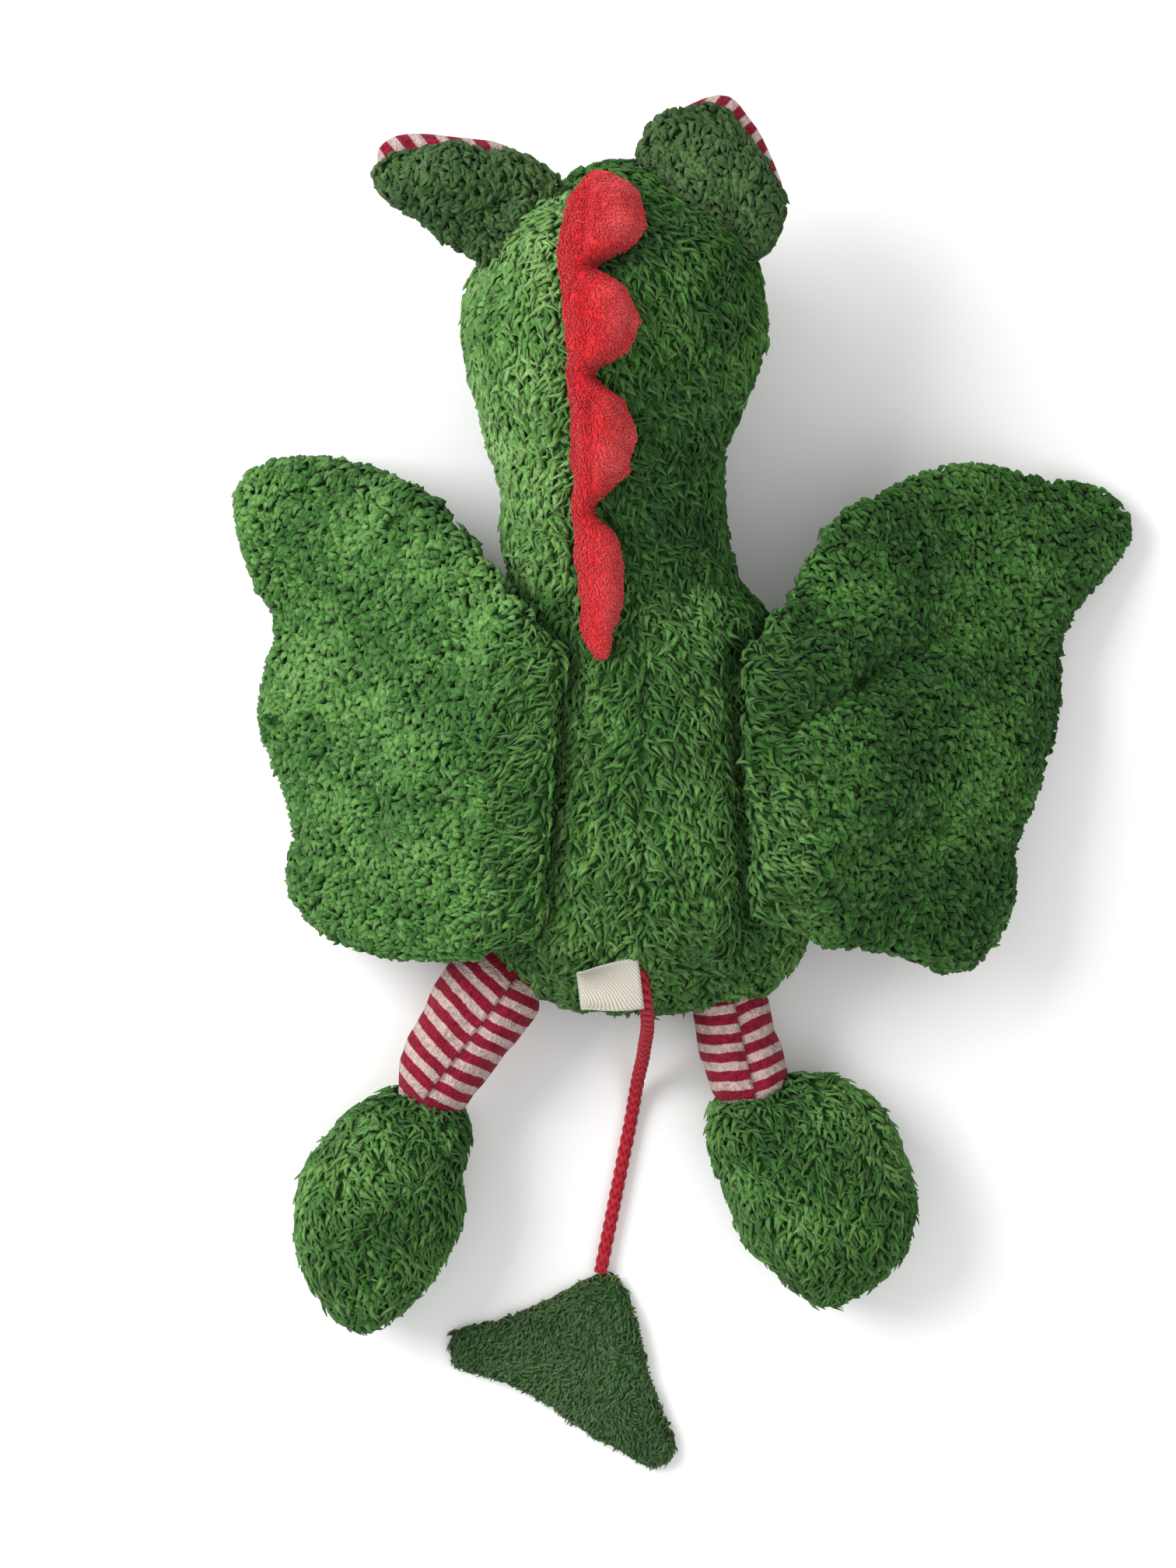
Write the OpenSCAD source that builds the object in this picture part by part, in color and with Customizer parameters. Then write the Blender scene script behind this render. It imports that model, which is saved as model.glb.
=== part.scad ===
// Musical plush dragon lying on its belly: a stuffed body and head in one,
// wings, ears, legs and feet sewn on, and a cord tail that pulls the string
// of a small clockwork movement inside the body.
// +Z is up from the belly, +Y runs from the belly towards the head.

/* [Fabric] */
// Overall size multiplier of the soft toy
toy_scale = 1; // [0.9:0.05:1.15]
// Thickness of the terry cloth without its pile
cloth_t = 1.6; // [1:0.1:2.2]
// Gap left between a wing's root and the back it is sewn to
soft_gap = 2.8; // [2.4:0.2:4]

/* [Wings] */
// Height of the wing tips' middle above the floor
wing_tip_z = 5; // [4:0.5:12]
// Fullness of the wing's upper side
wing_crown = 7; // [3:0.5:10]

/* [Legs] */
// Radius of a jersey leg tube
leg_r = 9; // [7:0.5:10]
// Half thickness of a foot
foot_half_h = 17; // [12:0.5:20]

/* [Tail] */
// Diameter of the knitted tail cord
cord_d = 3.5; // [3:0.1:4]
// Thickness of the tail tip
tip_t = 4; // [3:0.5:6]

/* [Movement] */
// Length of the case across the body
case_x = 46; // [46:1:50]
// Length of the case along the body
case_y = 46; // [38:1:48]
// Height of the case
case_z = 27; // [27:0.5:29]
// Wall of the case
case_wall = 1.4; // [1:0.1:1.6]
// Gear module
gear_m = 0.6; // [0.5:0.02:0.72]
// Radius of the string drum's core
drum_r = 8; // [7.5:0.1:9.6]
// Diameter of the pull string
string_d = 1.2; // [0.8:0.1:1.4]
// Radial running clearance of every shaft in its bore
run_gap = 0.05; // [0.02:0.01:0.09]

/* [Hidden] */

k = toy_scale;
green = [0.25, 0.50, 0.20];
dark_green = [0.22, 0.42, 0.25];
red = [0.86, 0.17, 0.18];
crimson = [0.62, 0.14, 0.24];
cream = [0.90, 0.80, 0.76];
fill_white = [0.93, 0.93, 0.90];
brass = [0.80, 0.66, 0.32];
steel = [0.70, 0.71, 0.73];
black = [0.06, 0.06, 0.07];
grey_plastic = [0.82, 0.82, 0.80];

// ---- curves ----

function lerp(a, b, t) = a + (b - a) * t;

// A point of a closed smooth curve through p, at fraction t of span i
function catmull(a, b, c, d, t) =
    0.5 * (2 * b + (c - a) * t + (2 * a - 5 * b + 4 * c - d) * t * t
           + (3 * b - a - 3 * c + d) * t * t * t);
function closed_curve(p, n) = let (m = len(p))
    [for (i = [0 : m - 1]) for (j = [0 : n - 1])
        catmull(p[(i + m - 1) % m], p[i], p[(i + 1) % m], p[(i + 2) % m], j / n)];
function open_curve(p, n) = let (m = len(p))
    [for (i = [0 : m - 2]) for (j = [0 : n - 1])
        catmull(p[max(i - 1, 0)], p[i], p[i + 1], p[min(i + 2, m - 1)], j / n), p[m - 1]];

// ---- grids of points made into closed solids ----

// Faces of a disc of rings around one middle point; flip turns them over
function disc_faces(rings, m, first, flip) = let (
    at = function (r, j) r == 0 ? first : first + 1 + (r - 1) * m + j % m,
    tris = concat(
        [for (j = [0 : m - 1]) [at(0, 0), at(1, j), at(1, j + 1)]],
        [for (r = [1 : rings - 1]) for (j = [0 : m - 1]) each [
            [at(r, j), at(r + 1, j), at(r + 1, j + 1)],
            [at(r, j), at(r + 1, j + 1), at(r, j + 1)]]])
    ) [for (t = tris) flip ? [t[2], t[1], t[0]] : t];

// A solid between two such discs, top and bottom, with a wall round the rim
module slab(top, bottom, rings, m) {
    n = len(top);
    rim = n - m;
    wall = [for (j = [0 : m - 1]) let (j2 = (j + 1) % m) each [
        [rim + j, rim + j2, n + rim + j2], [rim + j, n + rim + j2, n + rim + j]]];
    polyhedron(concat(top, bottom),
        concat(disc_faces(rings, m, 0, true), disc_faces(rings, m, n, false), wall));
}

// A solid between an outer and an inner patch, each rows of points
module patch_shell(outer, inner) {
    rows = len(outer);
    cols = len(outer[0]);
    n = rows * cols;
    at = function (r, c) r * cols + c;
    quad = function (a, b, c, d) [[a, b, c], [a, c, d]];
    faces = [
        for (r = [0 : rows - 2]) for (c = [0 : cols - 2])
            each quad(at(r, c), at(r, c + 1), at(r + 1, c + 1), at(r + 1, c)),
        for (r = [0 : rows - 2]) for (c = [0 : cols - 2])
            each [for (t = quad(n + at(r, c), n + at(r, c + 1), n + at(r + 1, c + 1), n + at(r + 1, c)))
                [t[2], t[1], t[0]]],
        for (c = [0 : cols - 2])
            each quad(at(0, c + 1), at(0, c), n + at(0, c), n + at(0, c + 1)),
        for (c = [0 : cols - 2])
            each quad(at(rows - 1, c), at(rows - 1, c + 1), n + at(rows - 1, c + 1), n + at(rows - 1, c)),
        for (r = [0 : rows - 2])
            each quad(at(r, 0), at(r + 1, 0), n + at(r + 1, 0), n + at(r, 0)),
        for (r = [0 : rows - 2])
            each quad(at(r + 1, cols - 1), at(r, cols - 1), n + at(r, cols - 1), n + at(r + 1, cols - 1))];
    polyhedron(concat([for (r = outer) each r], [for (r = inner) each r]), faces);
}

// A closed solid through rings of points, with flat ends
module ring_loft(rings) {
    m = len(rings[0]);
    last = (len(rings) - 1) * m;
    faces = [
        for (r = [0 : len(rings) - 2]) for (j = [0 : m - 1]) let (j2 = (j + 1) % m) each [
            [r * m + j, r * m + j2, (r + 1) * m + j2], [r * m + j, (r + 1) * m + j2, (r + 1) * m + j]],
        [for (j = [m - 1 : -1 : 0]) j],
        [for (j = [0 : m - 1]) last + j]];
    polyhedron([for (r = rings) each r], faces);
}

// ---- body and head ----

// Stations from the rump to the crown: y, left x, right x, lowest z before
// the flat is cut, top z, the height of that flat, and the roll in degrees
BODY = [
    [-48, -12, 21, 14, 28, 0, 0],
    [-44, -26, 35, 6, 35, 0, 0],
    [-36, -34, 43, -2, 44, 0, 0],
    [-25, -39, 48, -4, 55, 0, 0],
    [-10, -41, 50, -5, 62, 0, 0],
    [8, -41, 49, -5, 64, 0, 0],
    [25, -39, 47, -5, 64, 0, 1],
    [40, -35, 43, -3, 62, 0, 3],
    [52, -32, 37, 3, 59, 3, 6],
    [62, -31, 28, 9, 59, 9, 9],
    [74, -32, 25, 13, 63, 13, 12],
    [88, -33, 24, 13, 71, 14, 15],
    [101, -37, 26, 9, 79, 14, 17],
    [114, -40, 32, 5, 85, 14, 18],
    [127, -42, 35, 4, 87, 14, 18],
    [140, -39, 33, 8, 84, 14, 18],
    [151, -32, 27, 17, 77, 17, 18],
    [160, -22, 18, 28, 68, 28, 18],
    [165, -13, 9, 37, 60, 37, 18],
    [168, -6, 3, 44, 53, 44, 18]
];
SIDES = 24;
FACE_FROM = 9; // station where the belly panel ends and the face panel starts

// A point of the body's surface at station i and side j, in by inset
function body_point(i, j, inset) = let (
    s = BODY[i],
    end = i == 0 ? 1 : (i == len(BODY) - 1 ? -1 : 0),
    a = 360 * j / SIDES + s[6],
    mid_x = (s[1] + s[2]) / 2,
    mid_z = (s[3] + s[4]) / 2,
    half_x = (s[2] - s[1]) / 2 * k - inset,
    half_z = (s[4] - s[3]) / 2 * k - inset
    ) [mid_x * k + half_x * cos(a),
       s[0] * k + end * inset,
       max(mid_z * k + half_z * sin(a), s[5] * k + inset)];

// Height of the body's back over a point of the floor
function body_top(x, y) = let (
    last = len(BODY) - 1,
    i = max([for (n = [0 : last - 1]) BODY[n][0] * k <= y ? n : 0]),
    t = (y / k - BODY[i][0]) / (BODY[i + 1][0] - BODY[i][0]),
    s = lerp(BODY[i], BODY[i + 1], min(max(t, 0), 1)),
    u = (x / k - (s[1] + s[2]) / 2) / ((s[2] - s[1]) / 2)
    ) k * ((s[3] + s[4]) / 2 + (s[4] - s[3]) / 2 * sqrt(max(1 - u * u, 0)));

// A panel of cloth over sides j0 to j1 and stations i0 to i1
module body_panel(j0, j1, i0, i1) {
    grid = function (inset) [for (i = [i0 : i1]) [for (j = [j0 : j1]) body_point(i, j, inset)]];
    patch_shell(grid(0), grid(cloth_t));
}

// Way through the back seam for the string guide and the tail cord
module seam_hole() {
    translate([string_x, -60 * k, string_z]) rotate([-90, 0, 0]) cylinder(r = guide_r, h = 50 * k, $fn = 32);
}

module back_panel_left() {
    color(green) difference() {
        body_panel(6, 13, 0, len(BODY) - 1);
        seam_hole();
    }
}
module back_panel_right() {
    color(green) difference() {
        body_panel(-1, 6, 0, len(BODY) - 1);
        seam_hole();
    }
}
module belly_panel() { color(green) body_panel(13, 23, 0, FACE_FROM); }
module face_panel() { color(green) body_panel(13, 23, FACE_FROM, len(BODY) - 1); }

module body_stuffing() {
    color(fill_white) difference() {
        ring_loft([for (i = [0 : len(BODY) - 1]) [for (j = [0 : SIDES - 1]) body_point(i, j, cloth_t)]]);
        translate(case_mid) cube([case_x, case_y, case_z], center = true);
        seam_hole();
    }
}

// ---- pads: soft pieces cut from one flat outline ----

// One level of a pad: rings of the outline shrunk towards mid, with a height
// function of the plan point and of the ring's fraction of the way out
PAD_RINGS = 4;
function pad_level(outline, mid, height) = concat(
    [[mid.x, mid.y, height(mid, 0)]],
    [for (r = [1 : PAD_RINGS]) let (f = sin(90 * r / PAD_RINGS)) for (p = outline)
        let (q = mid + (p - mid) * f) [q.x, q.y, height(q, f)]]);

// Rise of a pad's side above its middle surface
RIM = 0.4;
function rise(f, crown) = RIM + crown * sqrt(max(1 - f * f, 0));

// A layer of a pad: from level a to level b, where -2 and 2 are the outsides
// and -1 and 1 the insides of the cloth; the underside is flat on the floor
module pad_layer(outline, mid, plan_z, crown_up, crown_down, a, b) {
    at = function (level, q, f) max(level == -2 ? 0 : cloth_t, plan_z(q)
        + sign(level) * (rise(f, level > 0 ? crown_up : crown_down) + (abs(level) == 2 ? cloth_t : 0)));
    slab(pad_level(outline, mid, function (q, f) at(b, q, f)),
         pad_level(outline, mid, function (q, f) at(a, q, f)), PAD_RINGS, len(outline));
}

// ---- wings ----

// The root line's two ends, then the rest of the outline
WING_L = [[-22, -25], [-16, 42], [-34, 66], [-49, 83], [-66, 92], [-84, 95], [-98, 91], [-102, 82],
          [-97, 64], [-92, 53], [-96, 31], [-90, 10], [-86, -3], [-88, -16], [-80, -28], [-62, -33],
          [-40, -32]];
WING_R = [[27, 42], [31, -24], [48, -29], [70, -33], [87, -37], [99, -22], [99, -8], [106, 10], [113, 30],
          [113, 46], [118, 59], [131, 75], [127, 86], [110, 91], [88, 93], [67, 87], [51, 76], [42, 61]];
WING_L_MID = [-60, 30];
WING_R_MID = [75, 25];
WING_L_SPAN = 82;
WING_R_SPAN = 101;

// The outline with its root kept straight and the rest smoothed
function wing_outline(w) = let (
    n = len(w),
    free = concat([for (i = [1 : n - 1]) w[i]], [w[0]])
    ) k * concat(open_curve(free, 2), [lerp(w[0], w[1], 1 / 3), lerp(w[0], w[1], 2 / 3)]);

// Height of the wing's middle surface: on the back at the root, on the floor at the tip
function wing_z(q, w, span) = let (
    y = min(max(q.y / k, min(w[0].y, w[1].y)), max(w[0].y, w[1].y)),
    root_x = lerp(w[0].x, w[1].x, (y - w[0].y) / (w[1].y - w[0].y)),
    line = lerp(w[0].x, w[1].x, (q.y / k - w[0].y) / (w[1].y - w[0].y)),
    s = min(abs(q.x / k - line) / span, 1),
    root_z = body_top(root_x * k, y * k) + cloth_t + soft_gap + RIM,
    fall = 0.5 * (1 - s) + 0.25 * (1 + cos(180 * s))
    ) wing_tip_z + (root_z - wing_tip_z) * fall;

module wing_layer(w, mid, span, a, b) {
    pad_layer(wing_outline(w), k * mid, function (q) wing_z(q, w, span), wing_crown, 1.5, a, b);
}

module wing_left_upper() { color(green) wing_layer(WING_L, WING_L_MID, WING_L_SPAN, 1, 2); }
module wing_left_lower() { color(green) wing_layer(WING_L, WING_L_MID, WING_L_SPAN, -2, -1); }
module wing_left_batting() { color(fill_white) wing_layer(WING_L, WING_L_MID, WING_L_SPAN, -1, 1); }
module wing_right_upper() { color(green) wing_layer(WING_R, WING_R_MID, WING_R_SPAN, 1, 2); }
module wing_right_lower() { color(green) wing_layer(WING_R, WING_R_MID, WING_R_SPAN, -2, -1); }
module wing_right_batting() { color(fill_white) wing_layer(WING_R, WING_R_MID, WING_R_SPAN, -1, 1); }

// ---- ears ----

// Root line's two ends, then the outline from the second end on
EAR_L = [[-41, 145], [-22, 165], [-32, 171], [-44, 173], [-56, 174], [-63, 170], [-60, 162], [-53, 156],
         [-47, 151]];
EAR_R = [[8, 171.5], [31, 149], [37, 151], [39, 160], [36, 170], [31, 180], [26, 185], [18, 183], [11, 178]];
EAR_L_MID = [-40, 161];
EAR_R_MID = [25, 168];
EAR_Z = 54;

function ear_outline(e) = let (n = len(e))
    k * concat(open_curve(concat([for (i = [1 : n - 1]) e[i]], [e[0]]), 3), [lerp(e[0], e[1], 0.5)]);

module ear_layer(e, mid, a, b) {
    pad_layer(ear_outline(e), k * mid, function (q) EAR_Z * k, 3, 1.5, a, b);
}

module ear_left_outer() { color(green) ear_layer(EAR_L, EAR_L_MID, 1, 2); }
module ear_left_lining() { color(cream) ear_layer(EAR_L, EAR_L_MID, -2, -1); }
module ear_left_batting() { color(fill_white) ear_layer(EAR_L, EAR_L_MID, -1, 1); }
module ear_right_outer() { color(green) ear_layer(EAR_R, EAR_R_MID, 1, 2); }
module ear_right_lining() { color(cream) ear_layer(EAR_R, EAR_R_MID, -2, -1); }
module ear_right_batting() { color(fill_white) ear_layer(EAR_R, EAR_R_MID, -1, 1); }

// ---- face ----

MUZZLE_MID = [8, 128];
MUZZLE_X = 19;
MUZZLE_Y = 16;
MUZZLE_TOP = 14;

module muzzle() {
    m = 28;
    outline = [for (j = [0 : m - 1]) let (a = 360 * j / m)
        k * (MUZZLE_MID + [MUZZLE_X * cos(a), MUZZLE_Y * sin(a)])];
    color(green) slab(
        pad_level(outline, k * MUZZLE_MID, function (q, f) MUZZLE_TOP * k),
        pad_level(outline, k * MUZZLE_MID, function (q, f) k * (f < 0.8 ? 0 : lerp(0, 7, (f - 0.8) / 0.2))),
        PAD_RINGS, m);
}

// Embroidered eye: a round thread patch on the side of the head, at angle a round it
EYE_STATION = 14;
module eye(a) {
    s = BODY[EYE_STATION];
    mid = [(s[1] + s[2]) / 2, s[0], (s[3] + s[4]) / 2];
    reach = [(s[2] - s[1]) / 2 * cos(a), 0, (s[4] - s[3]) / 2 * sin(a)];
    color(black) translate(k * (mid + reach)) rotate([0, 90 - a, 0])
        translate([0, 0, -cloth_t / 2]) cylinder(r = 3.5 * k, h = cloth_t, $fn = 32);
}
module eye_left() { eye(221); }
module eye_right() { eye(346); }

module nostrils() {
    color(black) for (side = [-1, 1])
        translate(k * [MUZZLE_MID.x + side * 6, MUZZLE_MID.y + MUZZLE_Y - 3, 10])
            rotate([-90, 0, 0]) cylinder(r = 1.5 * k, h = 4 * k, $fn = 24);
}

// ---- crest ----

// Rows from the crown to the shoulders: y, seam x, outer edge x
CREST = [[163, -9, -3], [157, -15, 4], [148, -17, 6], [141, -17.5, 2], [137, -17, -5], [132, -17, 1],
         [124, -16, 4], [116, -15.5, 1], [111, -15, -6], [105, -15, 0], [96, -14.5, 3], [88, -14, 1],
         [80, -13.5, -6], [74, -13.5, -2], [65, -13, 0], [55, -12, -1], [47, -11, -3], [42, -8, -5]];
CREST_COLS = 6;
CREST_T = 8;

module crest() {
    row = function (c, high) [for (n = [0 : CREST_COLS]) let (
        t = n / CREST_COLS,
        x = k * lerp(c[1], c[2], t),
        fat = k * min(CREST_T, 0.7 * (c[2] - c[1])) * sqrt(max(1 - pow(2 * t - 1, 2), 0)),
        base = body_top(x, k * c[0]) + 1
        ) [x, k * c[0], base + (high ? 1.2 + fat : 0)]];
    color(red) patch_shell([for (c = CREST) row(c, true)], [for (c = CREST) row(c, false)]);
}

// ---- legs and feet ----

// Middle lines from hip to ankle
LEG_L = [[-35, -48, 20], [-38, -52, 20], [-43, -58, 19], [-47.2, -63.4, 18.5]];
LEG_R = [[29, -55, 20], [29.5, -57.5, 19.5], [30.5, -60, 19], [31.3, -62.3, 18.5]];
LEG_SIDES = 16;
DOME = [80, 55, 30];

// Unit directions along a run of points, and a ring of m points round one
function along(p) = let (last = len(p) - 1)
    [for (i = [0 : last]) let (d = p[min(i + 1, last)] - p[max(i - 1, 0)]) d / norm(d)];
function ring(mid, d, r, m) = let (
    side = cross(d, [0, 0, 1]) / norm(cross(d, [0, 0, 1])),
    up = cross(side, d)
    ) [for (j = [0 : m - 1]) mid + r * (side * cos(360 * j / m) + up * sin(360 * j / m))];

// Rings of a tube through p whose ends run on by past
function tube(p, r, m, past = 0) = let (d = along(p), last = len(p) - 1)
    [for (i = [0 : last]) let (shift = i == 0 ? -past : (i == last ? past : 0))
        ring(p[i] + d[i] * shift, d[i], r, m)];

// The same tube with domed ends
function domed_tube(p, r, m) = let (d = along(p), last = len(p) - 1) concat(
    [for (a = DOME) ring(p[0] - d[0] * r * sin(a), d[0], r * cos(a), m)],
    tube(p, r, m),
    [for (n = [len(DOME) - 1 : -1 : 0])
        ring(p[last] + d[last] * r * sin(DOME[n]), d[last], r * cos(DOME[n]), m)]);

// A leg's line, drawn back at both ends when its filling's domes outgrow
// the room that hip and ankle leave for them
DOME_ROOM = 7.4 * sin(DOME[0]);
function leg_line(leg) = let (
    p = k * leg,
    last = len(p) - 1,
    d = along(p),
    back = (k * leg_r - cloth_t) * sin(DOME[0]) - k * DOME_ROOM
    ) [for (i = [0 : last]) p[i] + (i == 0 ? back : (i == last ? -back : 0)) * d[i]];

module leg_tube(leg) {
    color(crimson) difference() {
        ring_loft(tube(leg_line(leg), k * leg_r, LEG_SIDES));
        ring_loft(tube(leg_line(leg), k * leg_r - cloth_t, LEG_SIDES, 1));
    }
}
module leg_stuffing(leg) {
    color(fill_white) ring_loft(domed_tube(leg_line(leg), k * leg_r - cloth_t, LEG_SIDES));
}
module leg_left_tube() { leg_tube(LEG_L); }
module leg_left_stuffing() { leg_stuffing(LEG_L); }
module leg_right_tube() { leg_tube(LEG_R); }
module leg_right_stuffing() { leg_stuffing(LEG_R); }

// Outlines from the ankle round the toes
FOOT_L = [[-51, -71], [-60, -73], [-70, -76], [-79, -82], [-85, -94], [-87, -105], [-82, -119], [-71, -130],
          [-60, -127], [-50, -117], [-44, -102], [-42, -90], [-42, -78]];
FOOT_R = [[31, -71], [23, -74], [21, -81], [24, -91], [31, -109], [40, -118], [51, -124], [61, -121],
          [71, -111], [75, -99], [71, -85], [64, -74], [54, -70], [42, -70]];
FOOT_L_MID = [-64, -100];
FOOT_R_MID = [48, -94];

module foot_layer(f, mid, a, b) {
    half = foot_half_h - cloth_t - RIM;
    pad_layer(k * closed_curve(f, 2), k * mid, function (q) foot_half_h * k, half * k, (half + 4) * k, a, b);
}
module foot_left_upper() { color(green) foot_layer(FOOT_L, FOOT_L_MID, 1, 2); }
module foot_left_sole() { color(green) foot_layer(FOOT_L, FOOT_L_MID, -2, -1); }
module foot_left_stuffing() { color(fill_white) foot_layer(FOOT_L, FOOT_L_MID, -1, 1); }
module foot_right_upper() { color(green) foot_layer(FOOT_R, FOOT_R_MID, 1, 2); }
module foot_right_sole() { color(green) foot_layer(FOOT_R, FOOT_R_MID, -2, -1); }
module foot_right_stuffing() { color(fill_white) foot_layer(FOOT_R, FOOT_R_MID, -1, 1); }

// ---- label ----

LABEL_X = 13;
LABEL_Y = 16;
LABEL_T = 0.4;
LABEL_GAP = 1; // between the strip and the rump under it

// A folded strip standing off the rump, its fold away from the body
module care_label() {
    y = -35 * k;
    base = max([for (x = [-10 : 2 : 1]) max(body_top(k * x, y), body_top(k * x, y - k * LABEL_Y / 2))])
        + LABEL_GAP;
    color([0.93, 0.92, 0.88]) translate([-11 * k, y, base]) rotate([90, 0, 90]) linear_extrude(LABEL_X)
        polygon(concat(
            [[0, 0], [0, LABEL_T], [-LABEL_Y + 3, LABEL_T + 1]],
            [for (a = [-90 : 30 : 90]) [-LABEL_Y + 3, 3] + [-2 * cos(a), 2 * sin(a) + 0.4]],
            [[0, 4 + LABEL_T], [0, 4 + 2 * LABEL_T]],
            [for (a = [90 : -30 : -90])
                [-LABEL_Y + 3, 3] + [-(2 + LABEL_T) * cos(a), (2 + LABEL_T) * sin(a) + 0.4]]));
}

// ---- tail ----

// The tail cord's middle line, from the seam over the rump to the floor
TAIL = [[3, -34.3, 44], [3.2, -38, 43.9], [4, -42, 42.4], [4.6, -46, 38.8], [5, -49.8, 33], [5, -53, 26],
        [4.5, -57, 19],
        [4, -61, 13], [3, -66, 7], [2, -72, 3.5], [1, -78, 2.2], [-1, -88, 2.2], [-3, -98, 2.2],
        [-5, -108, 2.2], [-7, -118, 2.3]];

module tail_cord() {
    color(red) ring_loft(tube(k * open_curve(TAIL, 2), cord_d / 2, 8));
}

TIP = [[-3, -119], [-9, -119.5], [-20, -125.5], [-35, -131.5], [-45, -134], [-45, -141], [-35, -145.5],
       [-25, -149], [-14, -157], [0, -165], [8, -168.5], [12, -164], [8.5, -154], [5, -144], [1, -127]];
TIP_MID = [-9, -142];

module tail_tip() {
    m = 2 * len(TIP);
    outline = k * closed_curve(TIP, 2);
    mid = k * TIP_MID;
    color(dark_green) slab(
        pad_level(outline, mid, function (q, f) tip_t * (f > 0.99 ? 0.6 : 1)),
        pad_level(outline, mid, function (q, f) 0),
        PAD_RINGS, m);
}

// ---- musical movement ----

// The case's middle, the string's line and the shafts, all shafts along X
string_x = 3;
string_z = 44 * k;
guide_r = 3;
guide_end = -33 * k;
cord_start = -34 * k;

// Room for the train along the case, the most even teeth that a wheel of a
// share of that room takes, a wheel's tip radius and two wheels' distance
room = case_y - 2 * case_wall;
function teeth_in(share) = 2 * floor(share * room / gear_m / 2 + 0.001);
function tip_r(teeth) = gear_m * (teeth / 2 + 0.75);
function apart(a, b) = gear_m * (a + b) / 2;
teeth_barrel = teeth_in(1 / 2);
teeth_pinion = teeth_in(1 / 3.6);
teeth_governor_drive = teeth_in(1 / 3);
teeth_governor = teeth_in(1 / 7.2);

FLANGE = 2.2;       // how far the drum's flanges stand proud of its core
WHEEL_GAP = 0.7;    // between two turning pieces that aren't meshed
CASE_GAP = 0.75;    // between the largest wheel and the case's end
flange_r = drum_r + FLANGE;
reach_r = max(tip_r(teeth_barrel), flange_r);
drum_axis = [case_y / 2 - case_wall - CASE_GAP - reach_r, string_z - drum_r - string_d / 2];
cylinder_axis = drum_axis - [apart(teeth_barrel, teeth_pinion), 0];
governor_axis = cylinder_axis - [apart(teeth_governor_drive, teeth_governor), 0];
case_mid = [0, 8, drum_axis[1] + 0.1];
arbor_r = 1.5;
shaft_r = 1;
pin_r = 0.7;
plate_low = case_mid.z - case_z / 2 + case_wall + 0.2;
plate_t = 1.2;
plate_top = plate_low + plate_t;
string_case_end = case_mid.y - case_y / 2;

// Pieces of the movement are drawn round the case's middle line
module in_case() {
    translate([0, case_mid.y, 0]) children();
}

// Case halves: base to the split, cover above it
split_z = case_mid.z;
corner = 4;

module case_shape(grow, low, high) {
    x = case_x / 2 - corner;
    y = case_y / 2 - corner;
    translate([0, 0, low]) linear_extrude(high - low) union() {
        square([2 * x, 2 * (y + corner + grow)], center = true);
        square([2 * (x + corner + grow), 2 * y], center = true);
        for (sx = [-1, 1]) for (sy = [-1, 1]) translate([sx * x, sy * y]) circle(r = corner + grow, $fn = 32);
    }
}

BOSS_R = 2.8;
HEAD_T = 0.9;
SPIGOT_R = 2.2;     // of the string guide's end in the case's wall
SCREW_INSET = 3.8;
screw_spots = [for (side = [-1, 1]) side * [case_x / 2 - SCREW_INSET, SCREW_INSET - case_y / 2]];

module case_base() {
    low = case_mid.z - case_z / 2;
    in_case() color(grey_plastic) difference() {
        union() {
            difference() {
                case_shape(0, low, split_z);
                case_shape(-case_wall, low + case_wall, split_z + 1);
            }
            for (s = screw_spots) translate([s.x, s.y, low + 0.5])
                cylinder(r = BOSS_R, h = split_z - low - 0.5, $fn = 24);
        }
        for (s = screw_spots) translate([s.x, s.y, low + 2]) cylinder(r = 0.8, h = case_z, $fn = 24);
    }
}

module case_cover() {
    high = case_mid.z + case_z / 2;
    in_case() color(grey_plastic) difference() {
        union() {
            difference() {
                case_shape(0, split_z, high);
                case_shape(-case_wall, split_z - 1, high - case_wall);
            }
            for (s = screw_spots) translate([s.x, s.y, split_z])
                cylinder(r = BOSS_R, h = high - split_z - 0.5, $fn = 24);
        }
        for (s = screw_spots) translate([s.x, s.y, split_z - 1]) cylinder(r = 1.1, h = case_z, $fn = 24);
        for (s = screw_spots) translate([s.x, s.y, high - HEAD_T]) cylinder(r = 2, h = 3, $fn = 24);
        translate([string_x, -case_y / 2 - 1, string_z]) rotate([-90, 0, 0])
            cylinder(r = SPIGOT_R, h = case_wall + 2, $fn = 32);
    }
}

module case_screws() {
    high = case_mid.z + case_z / 2;
    in_case() color(steel) for (s = screw_spots) translate([s.x, s.y, 0]) {
        translate([0, 0, split_z - 6]) cylinder(r = 0.8, h = high - HEAD_T - split_z + 6, $fn = 24);
        translate([0, 0, high - HEAD_T]) cylinder(r = 1.9, h = HEAD_T - 0.1, $fn = 24);
    }
}

// Plastic tube that leads the string from the case to the back seam
module string_guide() {
    color(grey_plastic) translate([string_x, string_case_end, string_z]) rotate([90, 0, 0]) difference() {
        union() {
            translate([0, 0, -case_wall]) cylinder(r = SPIGOT_R, h = case_wall, $fn = 32);
            cylinder(r = guide_r, h = string_case_end - guide_end, $fn = 32);
        }
        translate([0, 0, -case_wall - 1]) cylinder(r = string_d / 2 + 0.6, h = 60 * k, $fn = 32);
    }
}

module pull_string() {
    reach = case_mid.y + drum_axis[0] - 3.4 - cord_start;
    color([0.95, 0.95, 0.93]) translate([string_x, cord_start, string_z]) rotate([-90, 0, 0])
        cylinder(r = string_d / 2, h = reach, $fn = 16);
}

SLOT = 16; // length of the bedplate's slot under the barrel's wheel

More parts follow.
